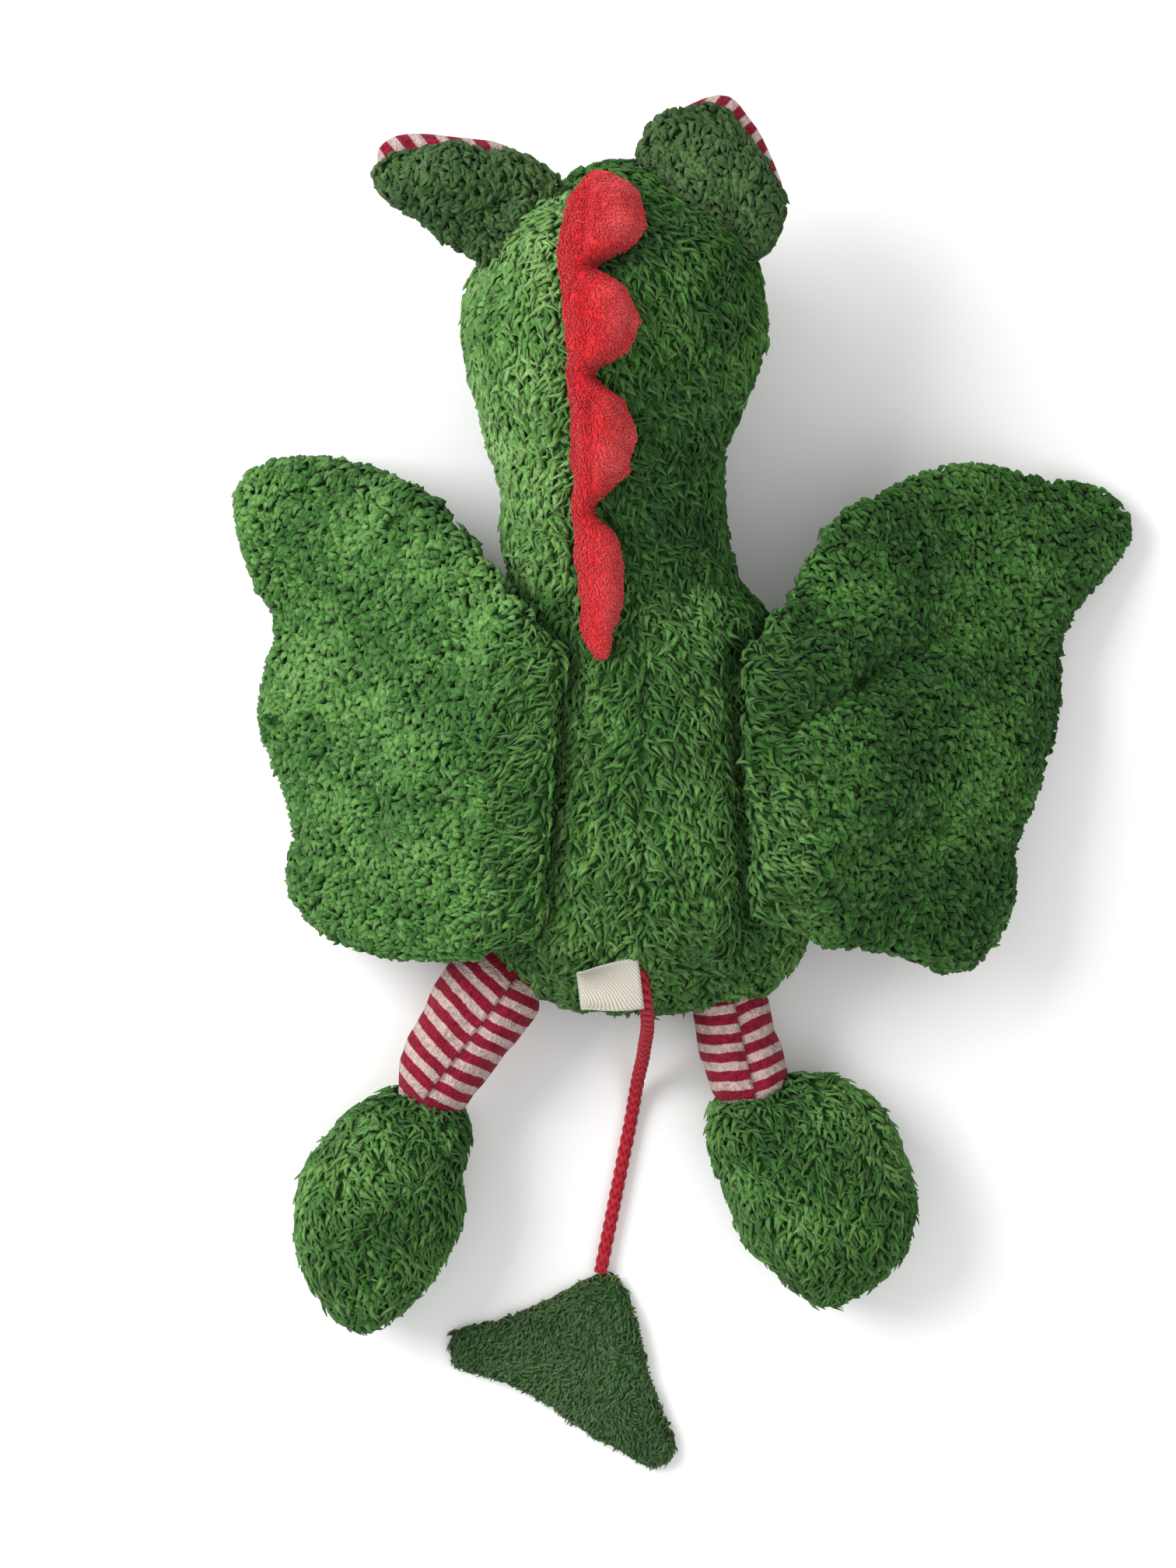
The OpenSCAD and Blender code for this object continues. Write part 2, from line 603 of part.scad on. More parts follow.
// A plate standing on the bedplate across X, from x to x + t
module post(x, t, y0, y1, z1) {
    translate([x, y0, plate_low]) cube([t, y1 - y0, z1 - plate_low]);
}
module across(x, axis, r, h) {
    translate([x, axis[0], axis[1]]) rotate([0, 90, 0]) cylinder(r = r, h = h, $fn = 48);
}

POST_RIGHT = 17.5;
POST_DRUM = -1.2;
POST_LEFT = -20.5;
POST_INNER = -12.6;
POST_T = 1.2;
COMB_SCREWS = [-6, 7];
COMB_X = -9;
COMB_W = 18.4;
COMB_FOOT = 4.5;
COMB_SCREW_R = 0.8;
comb_z = cylinder_axis[1] - 0.4;
comb_y = 0.6 + case_wall - case_y / 2;
comb_screw_y = comb_y + COMB_FOOT / 2;

module bedplate() {
    c = cylinder_axis;
    g = governor_axis;
    in_case() color(brass) difference() {
        union() {
            case_shape(-case_wall - 0.3, plate_low, plate_top);
            post(POST_RIGHT, POST_T, c[0] - 4, drum_axis[0] + 4, drum_axis[1] + 4);
            post(POST_DRUM, POST_T, drum_axis[0] - 4, drum_axis[0] + 4, drum_axis[1] + 4);
            post(POST_LEFT, POST_T, g[0] - 2.4, c[0] + 3, c[1] + 3);
            post(POST_INNER, POST_T, g[0] - 2.4, g[0] + 2, g[1] + 2.4);
            translate([COMB_X, comb_y, plate_low]) cube([COMB_W, COMB_FOOT, comb_z - plate_low]);
        }
        for (s = screw_spots) translate([s.x, s.y, plate_low - 1])
            cylinder(r = BOSS_R + 0.4, h = 4, $fn = 24);
        for (x = [POST_RIGHT, POST_DRUM]) across(x - 1, drum_axis, arbor_r + run_gap, POST_T + 2);
        for (x = [POST_RIGHT, POST_LEFT]) across(x - 1, c, shaft_r + run_gap, POST_T + 2);
        for (x = [POST_INNER, POST_LEFT]) across(x - 1, g, pin_r + run_gap, POST_T + 2);
        for (x = COMB_SCREWS) translate([x, comb_screw_y, comb_z - 5])
            cylinder(r = COMB_SCREW_R, h = 8, $fn = 24);
        translate([BARREL_X - 0.6, drum_axis[0] - SLOT / 2, plate_low - 1]) cube([BARREL_W + 1.2, SLOT, 4]);
        across(DRUM_X - 0.3, drum_axis, flange_r + 0.3, DRUM_W + 0.6);
        translate([fan_axis.x, fan_axis.y, plate_low - 1]) cylinder(r = pin_r + run_gap, h = 4, $fn = 24);
    }
}

// Straight-sided gear profile: n teeth, thinned for backlash, turned so that
// a tooth (phase 0) or a gap (phase 0.5) faces along +first axis
function gear_profile(n, phase) = let (
    pitch = gear_m * n / 2,
    root = pitch - 0.62 * gear_m * 1.4,
    tip = pitch + 0.75 * gear_m,
    step = 360 / n,
    at_root = step * 0.24,
    at_tip = step * 0.10
    ) [for (i = [0 : n - 1]) let (a = step * (i + phase)) each [
        root * [cos(a - at_root), sin(a - at_root)], tip * [cos(a - at_tip), sin(a - at_tip)],
        tip * [cos(a + at_tip), sin(a + at_tip)], root * [cos(a + at_root), sin(a + at_root)]]];

// A gear across X whose profile's first axis points along +Y
module gear(x, axis, h, n, phase) {
    translate([x, axis[0], axis[1]]) multmatrix([[0, 0, 1, 0], [1, 0, 0, 0], [0, 1, 0, 0]])
        linear_extrude(h) polygon(gear_profile(n, phase));
}

// Core and two flanges that the string is wound on, and the arbor they sit on
DRUM_X = 0.6;
DRUM_W = 4.8;
BARREL_X = 6.2;
BARREL_W = 10;
GEAR_W = 2.4;
barrel_r = gear_m * teeth_barrel / 2 - 1.2;

module string_drum() {
    in_case() color([0.92, 0.92, 0.9]) union() {
        across(POST_DRUM - 0.8, drum_axis, arbor_r, POST_RIGHT + POST_T + 1.6 - POST_DRUM);
        across(DRUM_X, drum_axis, drum_r, DRUM_W);
        for (x = [DRUM_X, DRUM_X + DRUM_W - 0.6]) across(x, drum_axis, flange_r, 0.6);
    }
}

module string_winding() {
    in_case() color([0.95, 0.95, 0.93]) difference() {
        across(DRUM_X + 0.7, drum_axis, drum_r + string_d / 2, DRUM_W - 1.4);
        across(DRUM_X + 0.2, drum_axis, drum_r, DRUM_W);
    }
}

module spring_barrel() {
    in_case() color(brass) difference() {
        union() {
            across(BARREL_X, drum_axis, barrel_r, BARREL_W);
            gear(BARREL_X + BARREL_W - GEAR_W, drum_axis, GEAR_W, teeth_barrel, 0.5);
        }
        across(BARREL_X + 1, drum_axis, barrel_r - 1, BARREL_W - 2);
        across(BARREL_X - 1, drum_axis, arbor_r + run_gap, BARREL_W + 2);
    }
}

// Flat spring wound from the arbor to the barrel's wall
module mainspring() {
    turns = 5;
    steps = 24 * turns;
    radius = function (i) lerp(arbor_r + 0.6, barrel_r - 1.4, i / steps);
    in_case() color(steel) translate([BARREL_X + 1.5, drum_axis[0], drum_axis[1]]) rotate([0, 90, 0])
        linear_extrude(BARREL_W - 3) polygon(concat(
            [for (i = [0 : steps]) (radius(i) + 0.3) * [cos(15 * i), sin(15 * i)]],
            [for (i = [steps : -1 : 0]) radius(i) * [cos(15 * i), sin(15 * i)]]));
}

PIN_PROUD = 0.5;
pin_tip = apart(teeth_barrel, teeth_pinion) - flange_r - WHEEL_GAP;
cylinder_r = pin_tip - PIN_PROUD;
CYLINDER_X = -9.5;
CYLINDER_W = 19.5;
PIN_ROWS = 12;

// Sleeve with the tune's pins in rows
module music_cylinder() {
    in_case() color(brass) difference() {
        union() {
            across(CYLINDER_X, cylinder_axis, cylinder_r, CYLINDER_W);
            for (row = [0 : PIN_ROWS - 1]) for (n = [0 : 2])
                translate([CYLINDER_X + 1.5 + 1.5 * row, cylinder_axis[0], cylinder_axis[1]])
                    rotate([(row * 77 + n * 131) % 360, 0, 0])
                        cylinder(r = 0.25, h = pin_tip, $fn = 16);
        }
        across(CYLINDER_X - 1, cylinder_axis, shaft_r, CYLINDER_W + 2);
    }
}

// Shaft with the pinion that the barrel drives and the wheel that drives the governor
module cylinder_gears() {
    in_case() color([0.9, 0.9, 0.86]) union() {
        across(POST_LEFT - 0.6, cylinder_axis, shaft_r, POST_RIGHT + POST_T + 1.2 - POST_LEFT);
        gear(BARREL_X + BARREL_W - GEAR_W, cylinder_axis, GEAR_W, teeth_pinion, 0);
        gear(CYLINDER_X - 1.8, cylinder_axis, 1.6, teeth_governor_drive, 0);
    }
}

COMB_TEETH = 12;

module comb() {
    tip_y = cylinder_axis[0] - pin_tip - 0.4;
    in_case() color(steel) difference() {
        translate([COMB_X, comb_y, comb_z]) cube([COMB_W, tip_y - comb_y, 0.8]);
        for (n = [1 : COMB_TEETH - 1])
            translate([COMB_X + COMB_W * n / COMB_TEETH - 0.15, comb_y + 4, comb_z - 1]) cube([0.3, 10, 3]);
        for (x = COMB_SCREWS) translate([x, comb_screw_y, comb_z - 1])
            cylinder(r = COMB_SCREW_R, h = 3, $fn = 24);
    }
}

module comb_screws() {
    in_case() color(steel) for (x = COMB_SCREWS) translate([x, comb_screw_y, 0]) {
        translate([0, 0, comb_z - 3]) cylinder(r = COMB_SCREW_R, h = 3.8, $fn = 24);
        translate([0, 0, comb_z + 0.8]) cylinder(r = 1.6, h = 0.9, $fn = 24);
    }
}

WORM_WHEEL_R = 2.6;
worm_r = 1.4;
fan_axis = [-17, governor_axis[0] + WORM_WHEEL_R + worm_r + 0.1];

// Shaft with the pinion that the cylinder's wheel drives and the worm's wheel
module governor_wheel() {
    in_case() color([0.9, 0.9, 0.86]) union() {
        across(POST_LEFT - 0.5, governor_axis, pin_r, POST_INNER + POST_T + 1 - POST_LEFT);
        gear(CYLINDER_X - 1.8, governor_axis, 1.6, teeth_governor, 0.5);
        across(fan_axis.x - 1, governor_axis, WORM_WHEEL_R, 2);
    }
}

// Upright worm with the two-bladed fan that brakes the movement
module governor_fan() {
    low = plate_low + 0.1;
    top = case_mid.z + case_z / 2 - case_wall - 0.5;
    in_case() color([0.15, 0.15, 0.16]) translate([fan_axis.x, fan_axis.y, 0]) union() {
        translate([0, 0, low]) cylinder(r = pin_r, h = top - low, $fn = 24);
        translate([0, 0, governor_axis[1] - 4]) cylinder(r = worm_r, h = 8, $fn = 32);
        translate([-4.4, -0.3, top - 4]) cube([8.8, 0.6, 3.6]);
    }
}

back_panel_left();
back_panel_right();
belly_panel();
face_panel();
body_stuffing();
muzzle();
eye_left();
eye_right();
nostrils();
crest();
ear_left_outer();
ear_left_lining();
ear_left_batting();
ear_right_outer();
ear_right_lining();
ear_right_batting();
wing_left_upper();
wing_left_lower();
wing_left_batting();
wing_right_upper();
wing_right_lower();
wing_right_batting();
leg_left_tube();
leg_left_stuffing();
leg_right_tube();
leg_right_stuffing();
foot_left_upper();
foot_left_sole();
foot_left_stuffing();
foot_right_upper();
foot_right_sole();
foot_right_stuffing();
care_label();
tail_cord();
tail_tip();
case_base();
case_cover();
case_screws();
string_guide();
pull_string();
bedplate();
string_drum();
string_winding();
spring_barrel();
mainspring();
music_cylinder();
cylinder_gears();
comb();
comb_screws();
governor_wheel();
governor_fan();
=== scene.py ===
import math

import bmesh
import bpy
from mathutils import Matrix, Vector, noise


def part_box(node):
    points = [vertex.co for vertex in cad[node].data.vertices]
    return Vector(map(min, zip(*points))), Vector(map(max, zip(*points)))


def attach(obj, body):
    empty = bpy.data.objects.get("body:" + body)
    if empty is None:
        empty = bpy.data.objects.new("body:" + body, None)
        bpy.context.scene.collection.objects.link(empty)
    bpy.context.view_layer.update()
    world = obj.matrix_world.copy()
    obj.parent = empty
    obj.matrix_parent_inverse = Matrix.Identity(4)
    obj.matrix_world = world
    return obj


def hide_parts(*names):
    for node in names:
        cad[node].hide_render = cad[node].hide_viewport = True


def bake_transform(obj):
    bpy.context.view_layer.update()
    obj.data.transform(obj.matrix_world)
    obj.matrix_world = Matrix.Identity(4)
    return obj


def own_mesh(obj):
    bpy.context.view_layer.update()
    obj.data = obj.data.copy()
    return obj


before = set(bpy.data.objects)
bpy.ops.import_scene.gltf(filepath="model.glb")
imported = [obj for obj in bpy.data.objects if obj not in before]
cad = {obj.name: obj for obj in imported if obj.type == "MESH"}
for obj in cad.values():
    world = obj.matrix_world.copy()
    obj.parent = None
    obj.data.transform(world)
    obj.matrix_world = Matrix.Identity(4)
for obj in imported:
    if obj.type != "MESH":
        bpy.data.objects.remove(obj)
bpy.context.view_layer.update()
scene = bpy.context.scene

# ---- view, floor and light ----
# The toy lies belly down on a plain pale floor and is seen from straight
# above, under one broad soft light from the upper left and a bright room.

eye = bpy.data.objects.new("eye", bpy.data.cameras.new("eye"))
eye.location = (-0.01025, 0.01066, 1.2)
eye.data.lens = 104.5
eye.data.sensor_width = 36
scene.collection.objects.link(eye)
scene.camera = eye
scene.view_settings.view_transform = "Standard"


def soft_light(name, place, size, watts):
    lamp = bpy.data.lights.new(name, "AREA")
    lamp.size = size
    lamp.energy = watts
    obj = bpy.data.objects.new(name, lamp)
    obj.location = place
    obj.rotation_euler = (-Vector(place)).to_track_quat("-Z", "Y").to_euler()
    scene.collection.objects.link(obj)


soft_light("window", (-0.90, 0.40, 0.80), 0.8, 16.5)
soft_light("room", (0.5, -0.3, 1.4), 1.4, 6.0)

room = bpy.data.worlds.new("room")
scene.world = room
room.use_nodes = True
room.node_tree.nodes["Background"].inputs["Color"].default_value = (1, 1, 1, 1)
room.node_tree.nodes["Background"].inputs["Strength"].default_value = 0.68


def wire(tree, kind, links=(), **settings):
    """A node of that kind, with its settings, its input values and its links."""
    node = tree.nodes.new(kind)
    for key, value in settings.items():
        setattr(node, key, value)
    for name, value in dict(links).items():
        socket = node.inputs[name]
        if isinstance(value, bpy.types.NodeSocket):
            tree.links.new(value, socket)
        else:
            socket.default_value = value
    return node


def finish(name, roughness=0.9, specular=0.2, sheen=0.0, metallic=0.0):
    """A new material, its tree and its shader, with the plain values set."""
    material = bpy.data.materials.new(name)
    material.use_nodes = True
    tree = material.node_tree
    shader = tree.nodes["Principled BSDF"]
    shader.inputs["Roughness"].default_value = roughness
    shader.inputs["Specular IOR Level"].default_value = specular
    shader.inputs["Sheen Weight"].default_value = sheen
    shader.inputs["Sheen Roughness"].default_value = 0.45
    shader.inputs["Metallic"].default_value = metallic
    return material, tree, shader


def place_of(tree):
    return wire(tree, "ShaderNodeTexCoord").outputs["Object"]


def grain(tree, place, scale, detail=3.0):
    return wire(tree, "ShaderNodeTexNoise", {"Vector": place, "Scale": scale, "Detail": detail}).outputs["Fac"]


def effect(name, takes, gives):
    """A shader node group with named sockets: the group, its inputs and its outputs."""
    group = bpy.data.node_groups.new(name, "ShaderNodeTree")
    for in_out, sockets in (("INPUT", takes), ("OUTPUT", gives)):
        for socket, kind in sockets.items():
            group.interface.new_socket(socket, in_out=in_out, socket_type="NodeSocket" + kind)
    return group, group.nodes.new("NodeGroupInput").outputs, group.nodes.new("NodeGroupOutput").inputs


def use(tree, group, shader, links, values):
    """That effect in a material, feeding the shader's inputs of the given names."""
    node = tree.nodes.new("ShaderNodeGroup")
    node.node_tree = group
    for name, value in values.items():
        node.inputs[name].default_value = (*value, 1) if node.inputs[name].type == "RGBA" else value
    for output, name in links.items():
        tree.links.new(node.outputs[output], shader.inputs[name])
    return node


def blended(tree, factor, a, b):
    """Colour a turned to colour b by a factor."""
    node = tree.nodes.new("ShaderNodeMix")
    node.data_type = "RGBA"
    for socket, value in zip([i for i in node.inputs if i.enabled], (factor, a, b)):
        if isinstance(value, tuple):
            socket.default_value = (*value, 1)
        else:
            tree.links.new(value, socket)
    return next(o for o in node.outputs if o.enabled)


def between(tree, value, low, high, start=0.0, end=1.0):
    """The value's clamped way from low to high, as one from start to end."""
    return wire(tree, "ShaderNodeMapRange", {"Value": value, "From Min": low, "From Max": high, "To Min": start,
                                             "To Max": end}).outputs[0]


# Two tones in soft patches of a given scale
MOTTLE, given, result = effect("mottle", {"Scale": "Float", "Dark": "Color", "Light": "Color"},
                               {"Colour": "Color"})
patches = between(MOTTLE, grain(MOTTLE, place_of(MOTTLE), given["Scale"]), 0.3, 0.7)
MOTTLE.links.new(blended(MOTTLE, patches, given["Dark"], given["Light"]), result["Colour"])


def mottled(tree, shader, scale, dark, light):
    use(tree, MOTTLE, shader, {"Colour": "Base Color"}, {"Scale": scale, "Dark": dark, "Light": light})


def object_from(name, bm, material):
    mesh = bpy.data.meshes.new(name)
    bm.to_mesh(mesh)
    bm.free()
    for face in mesh.polygons:
        face.use_smooth = True
    mesh.materials.append(material)
    obj = bpy.data.objects.new(name, mesh)
    scene.collection.objects.link(obj)
    return obj


paper, tree, shader = finish("floor_paper", roughness=0.95, specular=0.1)
mottled(tree, shader, 6.0, (0.92, 0.92, 0.92), (0.95, 0.95, 0.945))
bm = bmesh.new()
bmesh.ops.create_grid(bm, x_segments=1, y_segments=1, size=3.0)
floor = object_from("floor", bm, paper)

# ---- tail cord ----
# A round knitted cord of crimson cotton that comes out of the back seam,
# drops over the rump and lies on the floor. Pulling it winds the movement.

CORD_ACROSS = 0.0035
CORD_ROUTE = [(3, -34.3, 44), (3.2, -38, 43.9), (4, -42, 42.4), (4.6, -46, 38.8), (5, -49.8, 33), (5, -53, 26),
              (4.5, -57, 19), (4, -61, 13), (3, -66, 7), (2, -72, 3.5), (1, -78, 2.2), (-1, -88, 2.2),
              (-3, -98, 2.2), (-5, -108, 2.2), (-7, -118, 2.3)]
MM = 0.001
CORD_STEP = 0.0004    # between two rings of the cord's mesh
CORD_SIDES = 12
STITCH = 0.0028       # length of one knitted loop
COLUMNS = 5           # of loops round the cord
LOOP_SLANT = 1.6      # how far a loop's edges lag behind its middle, in loops
VALLEY, LOOP_RISE = 0.84, 0.24    # shares of the radius: between loops, and how much more on them


def through(points, step):
    """Points a step apart on a smooth curve through the given ones."""
    points = [Vector(p) for p in points]
    fine = []
    for i in range(len(points) - 1):
        a, b, c, d = (points[min(max(j, 0), len(points) - 1)] for j in (i - 1, i, i + 1, i + 2))
        pieces = max(1, round((c - b).length / step))
        for n in range(pieces):
            t = n / pieces
            fine.append(0.5 * (2 * b + (c - a) * t + (2 * a - 5 * b + 4 * c - d) * t * t
                               + (3 * b - a - 3 * c + d) * t ** 3))
    return fine + [points[-1]]


def settle(obj):
    """The object's modifiers made part of its mesh."""
    graph = bpy.context.evaluated_depsgraph_get()
    mesh = bpy.data.meshes.new_from_object(obj.evaluated_get(graph), preserve_all_data_layers=True,
                                           depsgraph=graph)
    obj.modifiers.clear()
    obj.data = mesh
    mesh.name = obj.name
    return obj


def rope(name, points, radius, sides, material):
    """A capped tube of rings of that many sides along the points."""
    curve = bpy.data.curves.new(name, "CURVE")
    curve.dimensions = "3D"
    curve.bevel_depth = radius
    curve.bevel_resolution = sides // 2 - 2
    curve.use_fill_caps = True
    spline = curve.splines.new("POLY")
    spline.points.add(len(points) - 1)
    for at, p in zip(spline.points, points):
        at.co = (*p, 1)
    maker = bpy.data.objects.new(name + "_line", curve)
    scene.collection.objects.link(maker)
    mesh = bpy.data.meshes.new_from_object(maker.evaluated_get(bpy.context.evaluated_depsgraph_get()))
    bpy.data.objects.remove(maker)
    bm = bmesh.new()
    bm.from_mesh(mesh)
    bmesh.ops.remove_doubles(bm, verts=bm.verts, dist=1e-6)
    bmesh.ops.recalc_face_normals(bm, faces=bm.faces)
    return object_from(name, bm, material)


def maths(tree, operation, a, b=0.0, c=0.0):
    return wire(tree, "ShaderNodeMath", {0: a, 1: b, 2: c}, operation=operation).outputs[0]


# Fine relief of a given scale and height
RELIEF, given, result = effect("relief", {"Scale": "Float", "Distance": "Float"}, {"Normal": "Vector"})
fine = wire(RELIEF, "ShaderNodeBump", {"Height": grain(RELIEF, place_of(RELIEF), given["Scale"]),
                                       "Distance": given["Distance"]})
RELIEF.links.new(fine.outputs["Normal"], result["Normal"])


def relief(tree, shader, scale, distance):
    use(tree, RELIEF, shader, {"Normal": "Normal"}, {"Scale": scale, "Distance": distance})


yarn, tree, shader = finish("crimson_yarn", sheen=0.06)
# Painted shade and highlight: the yarn is darker between the knitted loops and lighter on their tops, with
# random grain mixed in
depth = wire(tree, "ShaderNodeAttribute", attribute_name="stitch").outputs["Fac"]
loop_shade_and_grain = maths(tree, "MULTIPLY_ADD", grain(tree, place_of(tree), 500.0), 0.5, depth)
raised = blended(tree, between(tree, loop_shade_and_grain, 0.25, 0.75), (0.085, 0.002, 0.007), (0.33, 0.008, 0.020))
tree.links.new(blended(tree, between(tree, loop_shade_and_grain, 0.75, 1.4), raised, (0.52, 0.040, 0.055)),
               shader.inputs["Base Color"])
relief(tree, shader, 2600.0, 0.0003)

route = [p * MM for p in through(CORD_ROUTE, CORD_STEP / MM)]
tail_cord = rope("tail_cord_knit", route, CORD_ACROSS / 2, CORD_SIDES, yarn)
stitches = tail_cord.data.attributes.new("stitch", "FLOAT", "POINT")
for v in tail_cord.data.vertices:
    near = min(range(len(route)), key=lambda i: (route[i] - v.co).length_squared)
    ahead = (route[min(near + 1, len(route) - 1)] - route[max(near - 1, 0)]).normalized()
    out = v.co - route[near]
    side = ahead.cross(Vector((0.02, 0, 1))).normalized()
    turn = math.atan2(out.dot(ahead.cross(side)), out.dot(side)) / math.tau * COLUMNS % 1
    wave = abs(math.sin(math.pi * (near * CORD_STEP / STITCH + abs(turn - 0.5) * LOOP_SLANT)))
    stitches.data[v.index].value = wave
    v.co = route[near] + out * (VALLEY + LOOP_RISE * wave)
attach(tail_cord, "tail")
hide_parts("tail_cord")

# ---- terry cloth ----
# Cotton terry worn to matted, wavy locks a few millimetres long. They lie almost flat,
# all roughly the way the cloth was brushed, over a base painted dark as the shade between them.

STRAND = (0.0042, 0.0016, 0.30)   # length, width and tip's share of the width
CURL = (0.0030, 0.0019, 0.45)     # the same of the shorter locks on wings and ears
LOCK_THIN, LOCK_BELLY = 0.55, 1.1   # share of the taper at the tip, and how much more at the belly
BELLY_BACK = 0.12                   # how far the belly is towards the root, as a share of the length
LOCK_SWAY, LOCK_ARCH = 0.16, 0.22   # shares of the length, for a sway or an arch of one
LOCK_FLAT = 0.8                     # height over width
# Sideways sway and upward arch of each of a cloth's locks
STRAND_BENDS = [(0.9, 0.5), (-0.9, 0.6), (1.9, 0.5), (-1.9, 0.8), (0.3, 1.0)]
CURL_BENDS = [(1.3, 1.5), (-1.4, 1.3), (0.4, 2.0), (-0.5, 1.8), (2.0, 1.2)]


# Cotton pile, lighter from root to tip, which is painted shade at the roots, and from
# lock to lock, in patches and in the fine streaks of the yarns that make up each lock
TERRY, given, result = effect("terry_tone", {"Dark": "Color", "Mid": "Color", "Light": "Color"},
                              {"Colour": "Color", "Normal": "Vector"})
place = place_of(TERRY)
along = wire(TERRY, "ShaderNodeAttribute", attribute_name="along").outputs["Fac"]
tone = wire(TERRY, "ShaderNodeAttribute", attribute_name="tone").outputs["Fac"]
patch = maths(TERRY, "MULTIPLY", grain(TERRY, place, 38.0, 1.5), 0.75)
yarn_across = wire(TERRY, "ShaderNodeAttribute", attribute_name="across").outputs["Fac"]
strand = wire(TERRY, "ShaderNodeCombineXYZ", {"X": maths(TERRY, "MULTIPLY", yarn_across, 3.4),
                                              "Y": maths(TERRY, "MULTIPLY", along, 1.3),
                                              "Z": maths(TERRY, "MULTIPLY", tone, 60.0)}).outputs[0]
streaks = grain(TERRY, strand, 1.0, 2.0)
mixed = maths(TERRY, "MULTIPLY_ADD", streaks, 0.42, maths(TERRY, "SUBTRACT", patch, 0.13))
# painted shade: each lock darker towards its root, down in the pile
mixed = maths(TERRY, "MULTIPLY_ADD", along, 0.26, mixed)
mixed = maths(TERRY, "MULTIPLY_ADD", tone, 0.26, mixed)
deep = blended(TERRY, between(TERRY, mixed, 0.28, 0.62), given["Dark"], given["Mid"])
TERRY.links.new(blended(TERRY, between(TERRY, mixed, 0.62, 0.95), deep, given["Light"]), result["Colour"])
fine = wire(TERRY, "ShaderNodeBump", {"Height": streaks, "Distance": 0.0006})
TERRY.links.new(fine.outputs["Normal"], result["Normal"])


def terry(name, dark, mid, light):
    material, tree, shader = finish(name, roughness=0.92, specular=0.10, sheen=0.10)
    use(tree, TERRY, shader, {"Colour": "Base Color", "Normal": "Normal"},
        {"Dark": dark, "Mid": mid, "Light": light})
    return material


GREEN = terry("green_terry", (0.011, 0.052, 0.007), (0.040, 0.145, 0.022), (0.165, 0.365, 0.088))
# A darker copy of the green terry: painted shade for the right side, away from the light
SHADED = terry("deep_green_terry", (0.007, 0.036, 0.005), (0.024, 0.100, 0.013), (0.105, 0.290, 0.055))
# A lighter copy of the green terry: painted light for the lit left of the head
PAINTED_LIGHT_GREEN = terry("faded_terry", (0.042, 0.135, 0.021), (0.095, 0.260, 0.048), (0.270, 0.500, 0.155))
# The cloth under the pile is dark green as painted shade in the gaps between the locks
base_cloth_painted_shade, tree, shader = finish("terry_base", specular=0.08)
mottled(tree, shader, 300.0, (0.012, 0.052, 0.008), (0.030, 0.105, 0.018))
relief(tree, shader, 900.0, 0.001)


def lock(name, long, wide, tip, sway, arch, material):
    """One lock: a three-sided taper along +X that sways sideways and arches up."""
    bm = bmesh.new()
    bmesh.ops.create_cone(bm, cap_ends=True, segments=3, radius1=wide / 2, radius2=wide * tip / 2, depth=long)
    turns = bm.verts.layers.float.new("across")
    sides = [e for e in bm.edges if abs(e.verts[0].co.z - e.verts[1].co.z) > long / 2]
    bmesh.ops.subdivide_edges(bm, edges=sides, cuts=2, use_grid_fill=False)
    for v in bm.verts:
        t = v.co.z / long + 0.5
        x, y = v.co.x, v.co.y
        v[turns] = math.atan2(y, x) / math.tau * 3 % 3
        fat = LOCK_THIN + LOCK_BELLY * math.sin(math.pi * min(t + BELLY_BACK, 1.0))
        v.co = Vector((t * long, y * fat + LOCK_SWAY * long * sway * math.sin(math.tau * t * 0.8),
                       x * fat * LOCK_FLAT + LOCK_ARCH * long * arch * math.sin(math.pi * t)))
    bmesh.ops.recalc_face_normals(bm, faces=bm.faces)
    obj = object_from(name, bm, material)
    along = obj.data.attributes.new("along", "FLOAT", "POINT")
    for v in obj.data.vertices:
        along.data[v.index].value = v.co.x / long
    return obj


def lock_set(name, material, size, bends):
    """A hidden collection of differently bent locks of one cloth."""
    group = bpy.data.collections.new(name)
    for n, (sway, arch) in enumerate(bends):
        obj = lock(f"{name}_{n}", *size, sway, arch, material)
        scene.collection.objects.unlink(obj)
        group.objects.link(obj)
    return group


